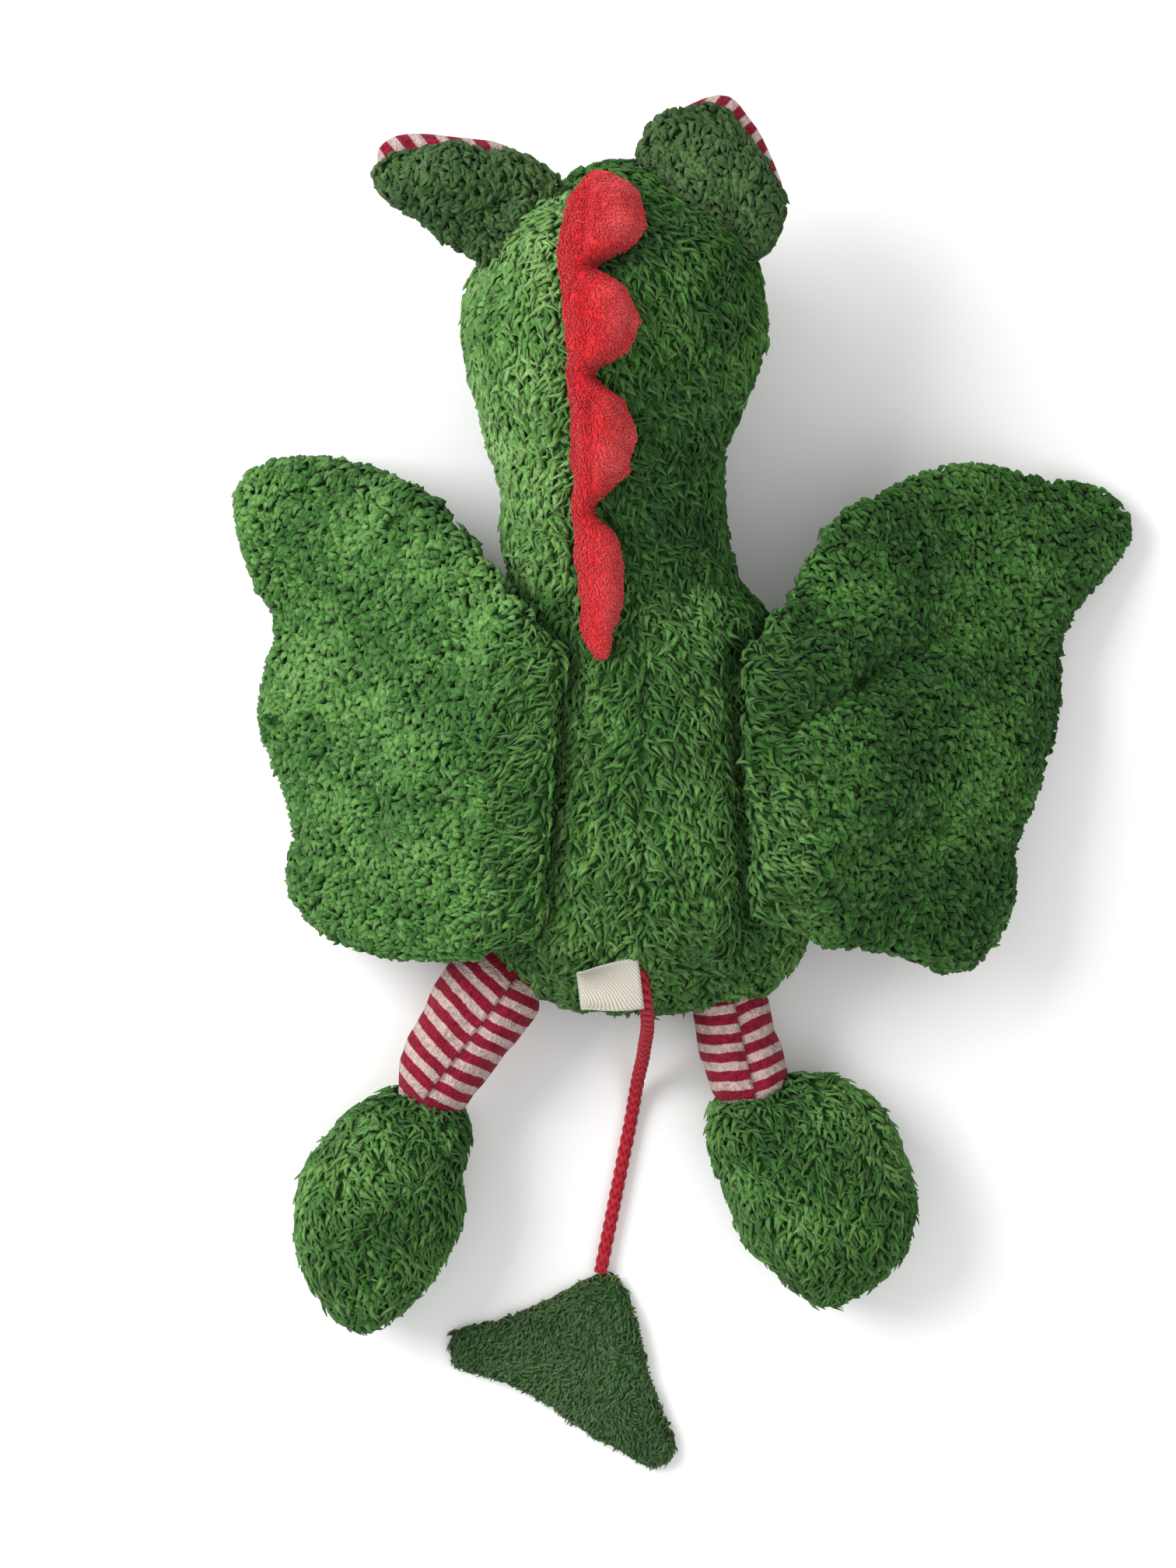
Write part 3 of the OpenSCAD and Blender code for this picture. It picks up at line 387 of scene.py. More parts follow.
def pile_tree():
    """Points spread over the cloth, each with one lock laid along the brushing."""
    group = bpy.data.node_groups.new("brushed_pile", "GeometryNodeTree")
    face = group.interface
    face.new_socket("Cloth", in_out="INPUT", socket_type="NodeSocketGeometry")
    face.new_socket("Locks", in_out="INPUT", socket_type="NodeSocketCollection")
    face.new_socket("Density", in_out="INPUT", socket_type="NodeSocketFloat")
    face.new_socket("Seed", in_out="INPUT", socket_type="NodeSocketInt")
    face.new_socket("Brushing", in_out="INPUT", socket_type="NodeSocketVector")
    face.new_socket("Swirl", in_out="INPUT", socket_type="NodeSocketFloat")
    face.new_socket("Lean", in_out="INPUT", socket_type="NodeSocketFloat")
    face.new_socket("Pile", in_out="OUTPUT", socket_type="NodeSocketGeometry")
    given = group.nodes.new("NodeGroupInput").outputs
    spread = wire(group, "GeometryNodeDistributePointsOnFaces",
                  {"Mesh": given["Cloth"], "Density": given["Density"], "Seed": given["Seed"]},
                  distribute_method="RANDOM")
    swirl = wire(group, "ShaderNodeTexNoise",
                 {"Vector": wire(group, "GeometryNodeInputPosition").outputs[0], "Scale": 125.0, "Detail": 1.0})
    centred = wire(group, "ShaderNodeVectorMath", {0: swirl.outputs["Color"], 1: (0.5, 0.5, 0.5)},
                   operation="SUBTRACT")
    wide = wire(group, "ShaderNodeVectorMath", {0: centred.outputs[0], "Scale": given["Swirl"]},
                operation="SCALE")
    way = wire(group, "ShaderNodeVectorMath", {0: wide.outputs[0], 1: given["Brushing"]}, operation="ADD")
    stand = wire(group, "FunctionNodeAlignRotationToVector", {"Vector": spread.outputs["Normal"]}, axis="Z")
    turned = wire(group, "FunctionNodeAlignRotationToVector",
                  {"Rotation": stand.outputs[0], "Vector": way.outputs[0]}, axis="X", pivot_axis="Z")

    def chance(kind, low, high, seed):
        node = wire(group, "FunctionNodeRandomValue", data_type=kind)
        values = [s for s in node.inputs if s.enabled]
        values[0].default_value, values[1].default_value = low, high
        node.inputs["Seed"].default_value = seed
        return next(s for s in node.outputs if s.enabled)

    tilt = wire(group, "ShaderNodeVectorMath",
                {0: chance("FLOAT_VECTOR", (-0.45, -0.4, -0.32), (0.45, 0.08, 0.32), 3)}, operation="ADD")
    leaned = wire(group, "ShaderNodeCombineXYZ", {"Y": given["Lean"]})
    group.links.new(leaned.outputs[0], tilt.inputs[1])
    turned = wire(group, "FunctionNodeRotateRotation",
                  {"Rotation": turned.outputs[0], "Rotate By": tilt.outputs[0]}, rotation_space="LOCAL")
    choice = wire(group, "GeometryNodeCollectionInfo",
                  {"Collection": given["Locks"], "Separate Children": True, "Reset Children": True})
    laid = wire(group, "GeometryNodeInstanceOnPoints",
                {"Points": spread.outputs["Points"], "Instance": choice.outputs[0], "Pick Instance": True,
                 "Instance Index": chance("INT", 0, len(STRAND_BENDS) - 1, 5),
                 "Rotation": turned.outputs[0],
                 "Scale": chance("FLOAT_VECTOR", (0.7, 0.75, 0.8), (1.35, 1.3, 1.2), 7)})
    toned = wire(group, "GeometryNodeStoreNamedAttribute",
                 {"Geometry": laid.outputs[0], "Name": "tone"}, data_type="FLOAT", domain="INSTANCE")
    value = next(s for s in toned.inputs if s.name == "Value" and s.enabled)
    group.links.new(chance("FLOAT", 0.0, 1.0, 11), value)
    made = wire(group, "GeometryNodeRealizeInstances", {"Geometry": toned.outputs[0]})
    out = group.nodes.new("NodeGroupOutput")
    group.links.new(made.outputs[0], out.inputs["Pile"])
    return group


PILE = pile_tree()
GREEN_STRANDS = lock_set("green_strand", GREEN, STRAND, STRAND_BENDS)
PAINTED_LIGHT_STRANDS = lock_set("faded_strand", PAINTED_LIGHT_GREEN, STRAND, STRAND_BENDS)
SHADED_STRANDS = lock_set("deep_green_strand", SHADED, STRAND, STRAND_BENDS)
GREEN_CURLS = lock_set("green_curl", GREEN, CURL, CURL_BENDS)
SHADED_CURLS = lock_set("deep_green_curl", SHADED, CURL, CURL_BENDS)
FLOOR_GAP = 0.0003   # least height over the floor


def piled(name, cloth, locks, density, seed, brushing, swirl, lean, body, keep=None):
    """The pile of a finished cloth, or of the faces of it that keep chooses: so many locks per square
    metre, laid along the brushing, which wanders by swirl, and leaned down into the cloth by lean."""
    obj = bpy.data.objects.new(name, cloth.data.copy())
    scene.collection.objects.link(obj)
    if keep:
        bm = bmesh.new()
        bm.from_mesh(obj.data)
        bmesh.ops.delete(bm, geom=[f for f in bm.faces if not keep(f)], context="FACES")
        bm.to_mesh(obj.data)
        bm.free()
    made = obj.modifiers.new("pile", "NODES")
    made.node_group = PILE
    sockets = {s.name: s.identifier for s in PILE.interface.items_tree if s.in_out == "INPUT"}
    for key, value in {"Locks": locks, "Density": density, "Seed": seed, "Brushing": brushing, "Swirl": swirl,
                       "Lean": lean}.items():
        made[sockets[key]] = value
    settle(obj)
    for v in obj.data.vertices:
        v.co.z = max(v.co.z, FLOOR_GAP)
    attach(obj, body)
    return obj


# ---- tail tip ----
# A flat arrowhead of short bluish terry on the end of the cord, two layers
# overlocked together along the edges with olive thread.

TIP_TERRY = terry("tip_terry", (0.022, 0.075, 0.026), (0.056, 0.140, 0.044), (0.135, 0.260, 0.088))
TIP_LOCKS = lock_set("tip_lock", TIP_TERRY, (0.0024, 0.0009, 0.3), STRAND_BENDS)
TIP_EDGE = [(-3, -119.6), (-9, -120.2), (-20, -126), (-35, -132), (-44, -134.6)]
TIP_SIDE = [(1, -127), (5, -144), (8.2, -154), (11.4, -164), (8, -167.6)]
TIP_HIGH = 0.0030     # height of the overlock stitches over the floor
THREAD_R = 0.00028
STITCH_LONG = 0.0026
STITCH_APART = 1.7    # mm
STITCH_SLANT = 0.45


def sewn_shell(name, parts, voxel, rounds, material):
    """The outside of CAD pieces that are sewn or filled together, as one cloth."""
    bm = bmesh.new()
    for part in parts:
        bm.from_mesh(cad[part].data)
    bmesh.ops.remove_doubles(bm, verts=bm.verts, dist=1e-5)
    obj = object_from(name, bm, material)
    remesh = obj.modifiers.new("remesh", "REMESH")
    remesh.mode = "VOXEL"
    remesh.voxel_size = voxel
    remesh.use_smooth_shade = True
    relax = obj.modifiers.new("relax", "SMOOTH")
    relax.factor = 0.5
    relax.iterations = rounds
    settle(obj)
    obj.data.materials.clear()
    obj.data.materials.append(material)
    return obj


def off_line(p, a, b):
    """How far a point of the plan is from the line from a to b, which are in mm."""
    p, a, b = Vector(p[:2]), Vector(a) * MM, Vector(b) * MM
    t = max(0.0, min(1.0, (p - a).dot(b - a) / (b - a).length_squared))
    return (p - a - (b - a) * t).length


def stuffed(obj, lump, lump_size, dents=(), inward=0.0, above=0.0):
    """Uneven filling in lumps of a size, and folds pressed in where the cloth is above a height. Each
    dent is (from, to, depth, width), in mm on the plan. The whole is drawn inward as well."""
    moves = []
    for v in obj.data.vertices:
        shift = lump * noise.noise(v.co / lump_size) - inward
        if v.normal.z > 0 and v.co.z > above:
            for a, b, deep, wide in dents:
                shift -= MM * deep * math.exp(-(off_line(v.co, a, b) / (wide * MM)) ** 2)
        moves.append(v.co + v.normal * shift)
    for v, place in zip(obj.data.vertices, moves):
        v.co = place
        v.co.z = max(v.co.z, FLOOR_GAP)
    obj.data.update()
    return obj


tail_tip = sewn_shell("tail_tip_cloth", ["tail_tip"], 0.0010, 1, base_cloth_painted_shade)
stuffed(tail_tip, 0.0005, 0.006)
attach(tail_tip, "tail")
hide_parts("tail_tip")
tail_tip_pile = piled("tail_tip_pile", tail_tip, TIP_LOCKS, 1300000, 21, (-0.4, -0.6, 0), 3.5, 0.12, "tail")

olive, tree, shader = finish("olive_thread")
mottled(tree, shader, 700.0, (0.060, 0.080, 0.014), (0.170, 0.190, 0.040))
bm = bmesh.new()
for edge in (TIP_EDGE, TIP_SIDE):
    line = [p * MM for p in through([(*p, 0) for p in edge], STITCH_APART)]
    for a, b in zip(line, line[1:]):
        stitch = bmesh.ops.create_cone(bm, cap_ends=True, segments=5, radius1=THREAD_R, radius2=THREAD_R,
                                       depth=STITCH_LONG)
        turn = (b - a).to_track_quat("X", "Z").to_matrix().to_4x4()
        turn.translation = a + Vector((0, 0, TIP_HIGH))
        lay = Vector((STITCH_SLANT, 1, 0)).to_track_quat("Z", "Y").to_matrix().to_4x4()
        bmesh.ops.transform(bm, matrix=turn @ lay, verts=stitch["verts"])
tail_stitches = object_from("tail_tip_stitches", bm, olive)
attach(tail_stitches, "tail")

# ---- body and head ----
# One stuffed shell sewn from two back panels, a belly panel and a face
# panel. The back seam runs from the crown to the rump under the crest.

BODY_DENTS = [((3, -22), (3.5, 36), 1.8, 3.0), ((3, -33), (3, -29), -2.2, 4.5),
              ((-14, 40), (-16, 160), 2.0, 3.0), ((-23, -26), (-18, 44), 2.6, 4.0),
              ((31, -24), (28, 44), 4.6, 4.0)]
NECK = 0.062       # where the back's pile ends and the head's starts, along Y
body_cloth = sewn_shell("body_cloth", ["back_panel_left", "back_panel_right", "belly_panel", "face_panel",
                                       "body_stuffing", "case_base", "case_cover", "string_guide"],
                        0.0026, 8, base_cloth_painted_shade)
stuffed(body_cloth, 0.0022, 0.017, BODY_DENTS, inward=0.0008, above=0.03)
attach(body_cloth, "torso")
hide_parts("back_panel_left", "back_panel_right", "belly_panel", "face_panel", "body_stuffing")

UNDER = -0.35      # faces whose normals point lower belong to belly and face
SEAM_X = -0.014    # the back seam beside the crest, on the head and neck
BACK_X = 0.003     # and below it
BODY_PILES = [
    # name, which faces, locks, locks per square metre, seed, brushing
    ("back_pile_left", lambda c, low: not low and c.y < NECK and c.x < BACK_X, GREEN_STRANDS, 400000, 31,
     (-0.3, -1, 0)),
    ("back_pile_right", lambda c, low: not low and c.y < NECK and c.x >= BACK_X, GREEN_STRANDS, 400000, 32,
     (0.4, -1, 0)),
    # The left of the head takes the lighter copy of the terry, painted light
    ("head_pile_left", lambda c, low: not low and c.y >= NECK and c.x < SEAM_X, PAINTED_LIGHT_STRANDS, 430000, 35,
     (-0.35, -1, 0)),
    # The right of the head takes the darker copy of the terry, painted shade
    ("head_pile_right", lambda c, low: not low and c.y >= NECK and c.x >= SEAM_X, SHADED_STRANDS, 430000, 36,
     (0.5, -0.9, 0)),
    ("belly_pile", lambda c, low: low and c.y < NECK, GREEN_STRANDS, 260000, 33, (0, -1, 0)),
    ("face_pile", lambda c, low: low and c.y >= NECK, GREEN_STRANDS, 260000, 34, (0, 1, 0)),
]
for name, chosen, locks, dense, seed, brushing in BODY_PILES:
    piled(name, body_cloth, locks, dense, seed, brushing, 3.0, 0.02, "torso",
          lambda f: chosen(f.calc_center_median(), f.normal.z < UNDER))

# ---- muzzle, eyes and nostrils ----
# A small terry pad under the front of the head, with two satin-stitched
# eyes on the sides of the face and two nostrils sewn in black thread.

muzzle = sewn_shell("muzzle_cloth", ["muzzle"], 0.0018, 6, base_cloth_painted_shade)
stuffed(muzzle, 0.001, 0.012)
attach(muzzle, "torso")
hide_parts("muzzle")
piled("muzzle_pile", muzzle, GREEN_CURLS, 420000, 41, (0, 1, 0), 2.0, 0.05, "torso")

black, tree, shader = finish("black_thread", roughness=0.45, specular=0.5)


# Rows of thread laid side by side, as in satin stitch, ribbon and braid
ROWS, given, result = effect("thread_rows", {"Scale": "Float", "Distortion": "Float", "Distance": "Float",
                                             "Dark": "Color", "Light": "Color"},
                             {"Colour": "Color", "Normal": "Vector"})
rows = wire(ROWS, "ShaderNodeTexWave",
            {"Vector": place_of(ROWS), "Scale": given["Scale"], "Distortion": given["Distortion"]},
            bands_direction="DIAGONAL").outputs["Fac"]
ROWS.links.new(blended(ROWS, between(ROWS, rows, 0.15, 0.85), given["Dark"], given["Light"]), result["Colour"])
raised = wire(ROWS, "ShaderNodeBump", {"Height": rows, "Distance": given["Distance"]})
ROWS.links.new(raised.outputs["Normal"], result["Normal"])


def threads(tree, shader, scale, distortion, distance, dark, light):
    use(tree, ROWS, shader, {"Colour": "Base Color", "Normal": "Normal"},
        {"Scale": scale, "Distortion": distortion, "Distance": distance, "Dark": dark, "Light": light})


threads(tree, shader, 420.0, 1.5, 0.0003, (0.004, 0.004, 0.005), (0.030, 0.030, 0.034))
for name in ("eye_left", "eye_right", "nostrils"):
    cad[name].data.materials.clear()
    cad[name].data.materials.append(black)

# ---- crest ----
# A stuffed strip of coral velour with scalloped lobes, sewn in the back
# seam and flopped to the right, from the crown to between the wings.

coral, tree, shader = finish("coral_velour", roughness=0.9, specular=0.08, sheen=0.20)
place = place_of(tree)
# Painted light: the velour is darker along the seam and in the pinches as painted shade, and paler out on the
# lobes as painted highlight, over the random nap
faded = wire(tree, "ShaderNodeAttribute", attribute_name="faded").outputs["Fac"]
nap_and_lobe_light = maths(tree, "MULTIPLY", grain(tree, place, 90.0), 0.5)
nap_and_lobe_light = maths(tree, "MULTIPLY_ADD", grain(tree, place, 1500.0), 0.25, nap_and_lobe_light)
nap_and_lobe_light = maths(tree, "MULTIPLY_ADD", faded, 0.40, nap_and_lobe_light)
rich = blended(tree, between(tree, nap_and_lobe_light, 0.25, 0.60), (0.46, 0.004, 0.010), (0.66, 0.020, 0.026))
tree.links.new(blended(tree, between(tree, nap_and_lobe_light, 0.60, 0.90), rich, (0.80, 0.095, 0.100)),
               shader.inputs["Base Color"])
relief(tree, shader, 2400.0, 0.0004)

CREST_SEAM = -0.0155
CREST_PINCHES = (0.1375, 0.1105, 0.078)   # where the lobes are drawn in, along Y
PINCH_WIDE = 0.0042
PINCH_IN, PINCH_DOWN = 0.30, 0.0018       # share of the width, and height, that a pinch takes
NARROWER = 0.07                           # share of the width that the whole strip is drawn in
LOBE_LIGHT_OVER = 0.013                         # how far out of the seam the painted shade gives way to the lobes' painted highlight
CREST_DENTS = [((-10.5, 158), (-11.5, 142), 1.0, 1.3), ((-11, 130), (-11, 116), 0.9, 1.4),
               ((-10, 103), (-9.5, 84), 0.9, 1.4), ((-13, 56), (-4, 54), 0.8, 1.6)]
crest = sewn_shell("crest_velour", ["crest"], 0.0010, 5, coral)
# Painted shade along the seam and in the pinches, painted highlight out on the lobes
faded = crest.data.attributes.new("faded", "FLOAT", "POINT")
for v in crest.data.vertices:
    pinch = max(math.exp(-((v.co.y - y) / PINCH_WIDE) ** 2) for y in CREST_PINCHES)
    out = max(0.0, v.co.x - CREST_SEAM)
    faded.data[v.index].value = min(1.0, out / LOBE_LIGHT_OVER) * (1 - pinch)
    v.co.x -= out * (NARROWER + PINCH_IN * pinch)
    v.co.z -= PINCH_DOWN * pinch
stuffed(crest, 0.0009, 0.006, CREST_DENTS)
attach(crest, "torso")
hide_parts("crest")
CREST_LOCKS = lock_set("velour_tuft", coral, (0.0009, 0.00045, 0.5), CURL_BENDS)
crest_nap = piled("crest_nap", crest, CREST_LOCKS, 2400000, 51, (0.6, -0.4, 0), 3.0, 0.15, "torso",
                  lambda f: f.normal.z > -0.3)

# ---- wings ----
# Each wing is two layers of terry over flat batting, sewn to the back along
# its root. The tips rest on the floor and the roots are puffed and folded.

WING_DENTS = {
    "left": [((-30, -20), (-26, 40), 1.0, 5.0), ((-84, 60), (-45, 40), 1.6, 7.0),
             ((-80, -5), (-50, 5), 1.2, 6.0), ((-38, -25), (-44, 50), 1.0, 6.0)],
    "right": [((40, 25), (62, 38), 4.6, 3.6), ((62, 38), (82, 51), 3.8, 4.4), ((55, -8), (78, 1), 3.4, 4.0),
              ((31, 22), (34, 10), 3.0, 3.2), ((34, 10), (33, -6), 3.0, 3.2), ((45, 52), (62, 44), 1.6, 6.0),
              ((92, 20), (100, 50), 1.4, 6.0)],
}
WING_ROOTS = {"left": ((-24, -24), (-20, 40)), "right": ((33, -24), (30, 40))}
ROOT_PUFF = 0.013    # how far out of the root the longer locks reach
UNDERSIDE = -0.25    # faces whose normals point lower belong to the wing's underside
# The right wing's curls are the darker copy of the terry, painted shade away from the light
for side, seed, brushing, curls in (("left", 61, (-0.7, -0.6, 0), GREEN_CURLS),
                                    ("right", 64, (0.9, -0.4, 0), SHADED_CURLS)):
    cloth = sewn_shell(f"wing_{side}_cloth", [f"wing_{side}_{part}" for part in ("upper", "lower", "batting")],
                       0.0024, 6, base_cloth_painted_shade)
    stuffed(cloth, 0.0022, 0.020, WING_DENTS[side], inward=0.0003)
    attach(cloth, f"wing_{side}")
    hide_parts(*(f"wing_{side}_{part}" for part in ("upper", "lower", "batting")))
    root = WING_ROOTS[side]
    piled(f"wing_{side}_pile_root", cloth, GREEN_STRANDS, 420000, seed + 2, brushing, 2.2, 0.0, f"wing_{side}",
          lambda f: f.normal.z > UNDERSIDE and off_line(f.calc_center_median(), *root) < ROOT_PUFF)
    piled(f"wing_{side}_pile_upper", cloth, curls, 560000, seed, brushing, 3.0, -0.05, f"wing_{side}",
          lambda f: f.normal.z > UNDERSIDE and off_line(f.calc_center_median(), *root) >= ROOT_PUFF)
    piled(f"wing_{side}_pile_lower", cloth, curls, 300000, seed + 1, brushing, 2.0, 0.1, f"wing_{side}",
          lambda f: f.normal.z <= UNDERSIDE)

# ---- ears ----
# Terry outside, striped jersey inside, lightly stuffed. The lining turns out
# over the far edge, where it shows from behind as a striped border.

STRIPE = 0.0050   # one crimson and one cream stripe


# Knitted jersey striped square to a direction. At a seam the stripes step,
# bend back and are crossed by a dark line; Seam is 1 with one and 0 without.
STRIPES, given, result = effect("jersey_stripes", {"Across": "Vector", "Beside": "Vector", "Origin": "Vector",
                                                   "Seam": "Float"}, {"Colour": "Color", "Normal": "Vector"})
place = place_of(STRIPES)
moved = wire(STRIPES, "ShaderNodeVectorMath", {0: place, 1: given["Origin"]}, operation="SUBTRACT").outputs[0]
run, beside = (wire(STRIPES, "ShaderNodeVectorMath", {0: moved, 1: given[way]}, operation="DOT_PRODUCT")
               .outputs["Value"] for way in ("Across", "Beside"))
run = maths(STRIPES, "MULTIPLY_ADD", grain(STRIPES, place, 90.0), 0.0022, run)
run = maths(STRIPES, "MULTIPLY_ADD", grain(STRIPES, place, 2000.0), 0.0006, run)
away = maths(STRIPES, "ABSOLUTE", beside)
step = maths(STRIPES, "MULTIPLY", maths(STRIPES, "GREATER_THAN", beside), given["Seam"])
run = maths(STRIPES, "MULTIPLY_ADD", step, STRIPE * 0.3, run)
run = maths(STRIPES, "MULTIPLY_ADD", maths(STRIPES, "MULTIPLY", away, given["Seam"]), 0.16, run)
phase = maths(STRIPES, "PINGPONG", maths(STRIPES, "FRACT", maths(STRIPES, "DIVIDE", run, STRIPE)), 0.5)
thread = between(STRIPES, grain(STRIPES, place, 700.0), 0.3, 0.7)
crimson = blended(STRIPES, thread, (0.13, 0.005, 0.015), (0.27, 0.011, 0.032))
cream = blended(STRIPES, thread, (0.33, 0.22, 0.21), (0.55, 0.42, 0.39))
shown = blended(STRIPES, between(STRIPES, phase, 0.245, 0.295), crimson, cream)
line = maths(STRIPES, "MULTIPLY", between(STRIPES, away, 0.0003, 0.0010, 0.55, 0.0), given["Seam"])
STRIPES.links.new(blended(STRIPES, line, shown, (0.08, 0.012, 0.020)), result["Colour"])
loops = wire(STRIPES, "ShaderNodeTexVoronoi", {"Vector": place, "Scale": 1300.0})
knit = wire(STRIPES, "ShaderNodeBump", {"Height": loops.outputs["Distance"], "Distance": 0.0004})
STRIPES.links.new(knit.outputs["Normal"], result["Normal"])


def striped(name, across, seam=None):
    material, tree, shader = finish(name, roughness=0.9, specular=0.12, sheen=0.05)
    across = Vector(across).normalized()
    use(tree, STRIPES, shader, {"Colour": "Base Color", "Normal": "Normal"},
        {"Across": across, "Beside": (-across.y, across.x, 0), "Seam": 1.0 if seam else 0.0,
         "Origin": Vector((*seam, 0)) * MM if seam else (0, 0, 0)})
    return material


EAR_TERRY = terry("ear_terry", (0.012, 0.038, 0.009), (0.036, 0.095, 0.022), (0.105, 0.200, 0.062))
EAR_LOCKS = lock_set("ear_lock", EAR_TERRY, CURL, CURL_BENDS)
EARS = {
    # side: (root middle, way to the tip, across the lining's stripes, terry drawn in by,
    #        lining drawn in by, terry fuller by, seed)
    "left": (Vector((-0.0315, 0.155, 0)), Vector((-0.30, 0.95, 0)), (1.0, 0.75, 0),
             0.0066, 0.0, 0.0012, 71),
    "right": (Vector((0.0195, 0.160, 0)), Vector((0.62, 0.78, 0)), (0.75, -0.65, 0),
              0.0082, 0.0018, 0.0012, 74),
}
HEAD_MIDDLE = Vector((-0.004, 0.135, 0))
EAR_ROOT = 0.0065   # how far the root is sewn over the head
EAR_LIFT = 0.0030   # how far the terry is lifted off the lining
EAR_CROWN = 0.004   # how far its middle rises over that
EAR_UNDER = 0.3     # share of the crown that its underside has
for side, (root, away, stripes, drawn, lining_drawn, fuller, seed) in EARS.items():
    head = (HEAD_MIDDLE - root).normalized()
    outer = sewn_shell(f"ear_{side}_cloth", [f"ear_{side}_outer", f"ear_{side}_batting"], 0.0016, 6, base_cloth_painted_shade)
    reach = max((v.co - root).dot(away) for v in outer.data.vertices)
    for v in outer.data.vertices:
        share = max(0.0, (v.co - root).dot(away) / reach)
        v.co += head * EAR_ROOT * max(0.0, 1 - 2.2 * share) - away * drawn * share
        v.co.z += EAR_LIFT + EAR_CROWN * math.sin(math.pi * min(share, 1.0)) * (
            1 if v.normal.z > 0 else EAR_UNDER)
    stuffed(outer, 0.0018, 0.010, inward=-fuller)
    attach(outer, f"ear_{side}")
    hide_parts(f"ear_{side}_outer", f"ear_{side}_batting")
    pile = piled(f"ear_{side}_pile", outer, EAR_LOCKS, 700000, seed, (0.2, -1, 0), 3.5, -0.15, f"ear_{side}",
                 lambda f: f.normal.z > -0.6)
    for piece in (outer, pile):
        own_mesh(piece)
    lining = sewn_shell(f"ear_{side}_stripes", [f"ear_{side}_lining", f"ear_{side}_batting"], 0.0013, 4,
                        striped(f"ear_{side}_jersey", stripes))
    for v in lining.data.vertices:
        v.co -= away * lining_drawn * max(0.0, (v.co - root).dot(away) / reach)
    stuffed(lining, 0.0006, 0.008, inward=-0.0008)
    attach(lining, f"ear_{side}")
    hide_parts(f"ear_{side}_lining")

# ---- legs ----
# Striped jersey tubes, softly stuffed, with a seam down the back that draws
# the stripes together. They hinge where they are sewn at hip and ankle.

LEGS = {
    # side: (hip end of the seam, ankle end of the seam) in mm on the plan, wider at the hip by
    "left": ((-33, -45), (-49, -66), 0.0085),
    "right": ((28.6, -51), (32, -66), 0.0020),
}
INTO_FOOT, INTO_BODY = 0.0060, 0.0075   # how far the ends run on
DOMES = 0.5                             # how much longer the rounded ends are drawn
for side, (hip, ankle, flare) in LEGS.items():
    way = Vector((ankle[0] - hip[0], ankle[1] - hip[1], 0))
    jersey = striped(f"leg_{side}_jersey", way, seam=hip)
    leg = sewn_shell(f"leg_{side}_jersey_tube", [f"leg_{side}_tube", f"leg_{side}_stuffing"], 0.0015, 5, jersey)
    way.normalize()
    beside = Vector((way.y, -way.x, 0))
    middle = Vector((*hip, 0)) * MM
    length = (Vector((*ankle, 0)) * MM - middle).length
    for v in leg.data.vertices:
        run = (v.co - middle).dot(way)
        past = min(0.0, run) if run < length / 2 else max(0.0, run - length)
        v.co += way * past * DOMES
        v.co += way * (INTO_FOOT if run > length * 0.55 else -INTO_BODY if run < length * 0.25 else 0.0)
        if (v.co - middle).dot(beside) > 0:
            v.co += beside * flare * max(0.0, min(1.0, 1 - run / length))
    stuffed(leg, 0.0009, 0.007, [(hip, ankle, 2.4, 1.8)], inward=-0.0012)
    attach(leg, f"leg_{side}")
    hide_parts(f"leg_{side}_tube", f"leg_{side}_stuffing")

# ---- feet ----
# Rounded terry slippers, firmly stuffed and flat where they rest, gathered
# round the ankle.

ANKLE_RISE = 0.0036   # how far the opening is pulled up round the ankle
FOOT_DRAWN_IN = 0.03  # share of its width that a foot is drawn in
for side, seed in (("left", 81), ("right", 84)):
    foot = sewn_shell(f"foot_{side}_cloth", [f"foot_{side}_{part}" for part in ("upper", "sole", "stuffing")],
                      0.0024, 9, base_cloth_painted_shade)
    low, high = (Vector(edge(v.co[i] for v in foot.data.vertices) for i in range(3)) for edge in (min, max))
    for v in foot.data.vertices:
        up = max(0.0, (v.co.y - (low.y + high.y) / 2) / (high.y - low.y) * 2)
        v.co.y += ANKLE_RISE * up ** 2
        v.co.x += ((low.x + high.x) / 2 - v.co.x) * FOOT_DRAWN_IN
    stuffed(foot, 0.0020, 0.014, inward=0.0003)
    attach(foot, f"foot_{side}")
    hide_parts(*(f"foot_{side}_{part}" for part in ("upper", "sole", "stuffing")))
    piled(f"foot_{side}_pile", foot, GREEN_STRANDS, 470000, seed, (0.15, -1, 0), 3.6, -0.05, f"foot_{side}")

# ---- care label ----
# A blank strip of off-white woven ribbon, folded over and caught in the back
# seam beside the cord, with its folded end cupped.

RIBBON_WIDE = 0.013
RIBBON_LONG = 0.034
RIBBON_THICK = 0.0003
FOLD_R = 0.0018
SIDE = (RIBBON_LONG - math.pi * FOLD_R) / 2
CUPPED = 215.0       # curvature across the strip at its folded end, 1/m
TURNED = 0.12        # how far the strip lies turned from square to the seam
CAUGHT = 0.0012      # length of it caught in the seam
OFF_RUMP = 0.0012    # height of its lower half over the rump
AHEAD = 0.0030       # how far it is sewn in towards the head
DROOP = 0.0020       # how far the folded end hangs
low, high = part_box("care_label")
ribbon, tree, shader = finish("label_ribbon", roughness=0.6, specular=0.3, sheen=0.05)
threads(tree, shader, 620.0, 2.0, 0.0001, (0.36, 0.33, 0.27), (0.56, 0.53, 0.47))
bm = bmesh.new()
bmesh.ops.create_grid(bm, x_segments=12, y_segments=36, size=0.5)
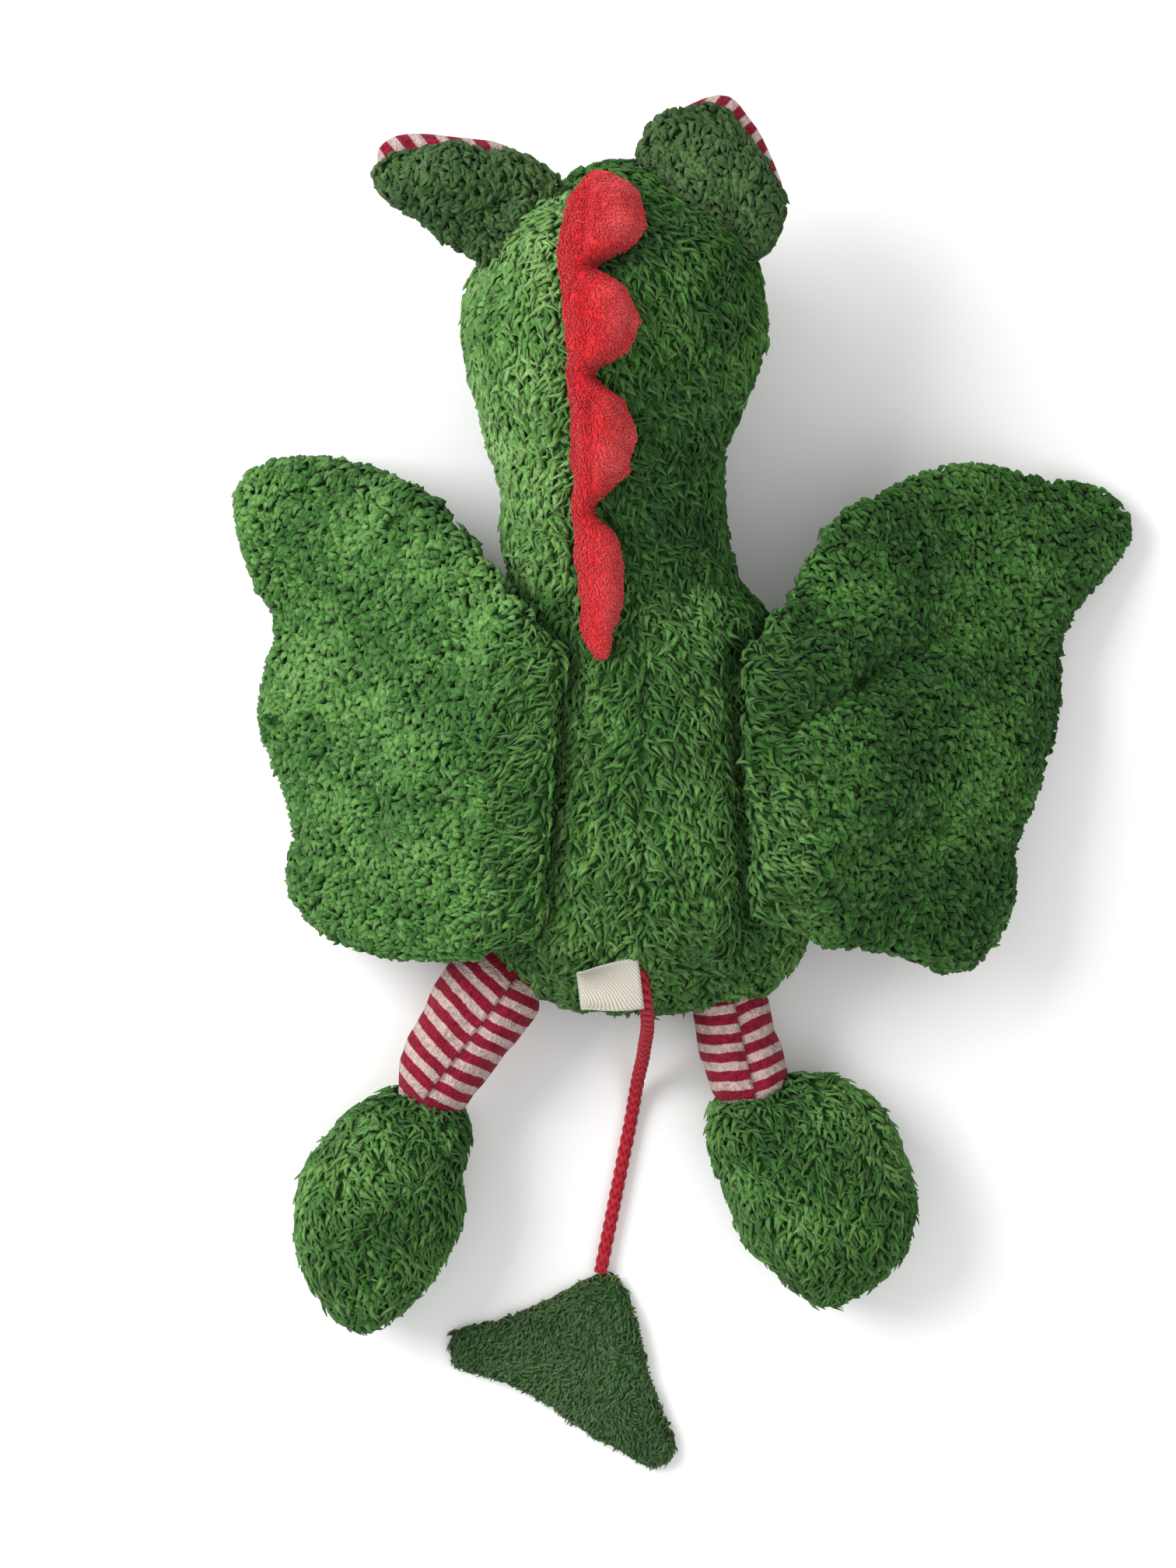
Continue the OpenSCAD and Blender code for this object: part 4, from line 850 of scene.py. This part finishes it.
for v in bm.verts:
    across, run = v.co.x, (v.co.y + 0.5) * RIBBON_LONG
    if run < SIDE:
        left, up = run, 2 * FOLD_R
    elif run < SIDE + math.pi * FOLD_R:
        turn = (run - SIDE) / FOLD_R
        left, up = SIDE + FOLD_R * math.sin(turn), FOLD_R * (1 + math.cos(turn))
    else:
        left, up = RIBBON_LONG - run, 0.0
    share = min(1.0, left / SIDE)
    bend = RIBBON_WIDE * CUPPED * share   # how far round the strip is cupped, edge to edge
    beside, rise = across * RIBBON_WIDE, 0.0
    if bend > 0.0:
        radius = 1 / (CUPPED * share)
        beside, rise = radius * math.sin(across * bend), radius * (1 - math.cos(across * bend))
    v.co = Vector((high.x + CAUGHT - left * math.cos(TURNED) + beside * math.sin(TURNED),
                   (low.y + high.y) / 2 + AHEAD - left * math.sin(TURNED) - beside * math.cos(TURNED),
                   low.z + OFF_RUMP + up + rise - DROOP * share))
bmesh.ops.recalc_face_normals(bm, faces=bm.faces)
label = object_from("care_label_ribbon", bm, ribbon)
thick = label.modifiers.new("thickness", "SOLIDIFY")
thick.thickness = RIBBON_THICK
settle(label)
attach(label, "torso")
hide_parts("care_label")

# ---- pull string ----
# White braided string from the drum, through the guide tube, to the tail
# cord. The length between them pays out as the tail is pulled.

STRING_STEPS = 60
low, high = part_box("pull_string")
braid, tree, shader = finish("white_braid", roughness=0.7)
threads(tree, shader, 260.0, 3.0, 0.0002, (0.62, 0.61, 0.57), (0.86, 0.86, 0.83))
middle = (low + high) / 2
line = [Vector((middle.x, high.y + (low.y - high.y) * n / STRING_STEPS, middle.z))
        for n in range(STRING_STEPS + 1)]
string = rope("pull_string_braid", line, (high.x - low.x) / 2, 10, braid)
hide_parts("pull_string")
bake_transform(string)

# ---- musical movement ----
# A clockwork movement in a screwed plastic case: brass bedplate, barrel and
# pinned cylinder, a steel comb, and a governor with a small moulded fan.


def moulded(name, colour, roughness):
    material, tree, shader = finish(name, roughness=roughness, specular=0.45)
    mottled(tree, shader, 60.0, colour, tuple(min(1.0, c * 1.12) for c in colour))
    relief(tree, shader, 1200.0, 0.00004)
    return material


# Drawn or turned metal, brushed along X and a little uneven in shine
METAL, given, result = effect("brushed_metal", {"Colour": "Color", "Roughness": "Float"},
                              {"Colour": "Color", "Roughness": "Float", "Normal": "Vector"})
place = place_of(METAL)
stretched = wire(METAL, "ShaderNodeMapping", {"Vector": place, "Scale": (60, 1800, 1800)}).outputs[0]
lines = grain(METAL, stretched, 1.0)
dull = blended(METAL, between(METAL, grain(METAL, place, 220.0), 0.3, 0.65, 0.3, 0.0), given["Colour"],
               (0, 0, 0))
METAL.links.new(dull, result["Colour"])
METAL.links.new(maths(METAL, "MULTIPLY", between(METAL, lines, 0.0, 1.0, 0.7, 1.4), given["Roughness"]),
                result["Roughness"])
brushed = wire(METAL, "ShaderNodeBump", {"Height": lines, "Distance": 0.00003})
METAL.links.new(brushed.outputs["Normal"], result["Normal"])


def metal(name, colour, roughness):
    material, tree, shader = finish(name, roughness=roughness, specular=0.5, metallic=1.0)
    use(tree, METAL, shader, {"Colour": "Base Color", "Roughness": "Roughness", "Normal": "Normal"},
        {"Colour": colour, "Roughness": roughness})
    return material


brass = metal("brass", (0.78, 0.57, 0.22), 0.32)
steel = metal("steel", (0.60, 0.61, 0.63), 0.28)
blued = metal("spring_steel", (0.30, 0.32, 0.38), 0.25)
case_plastic = moulded("case_plastic", (0.62, 0.62, 0.59), 0.42)
gear_plastic = moulded("gear_plastic", (0.76, 0.76, 0.72), 0.38)
fan_plastic = moulded("fan_plastic", (0.05, 0.05, 0.055), 0.45)
FINISHES = {
    case_plastic: ["case_base", "case_cover", "string_guide"],
    gear_plastic: ["string_drum", "governor_wheel"],
    fan_plastic: ["governor_fan"],
    brass: ["bedplate", "spring_barrel", "music_cylinder", "cylinder_gears"],
    steel: ["comb", "comb_screws", "case_screws"],
    blued: ["mainspring"],
    braid: ["string_winding"],
}
for material, names in FINISHES.items():
    for name in names:
        cad[name].data.materials.clear()
        cad[name].data.materials.append(material)
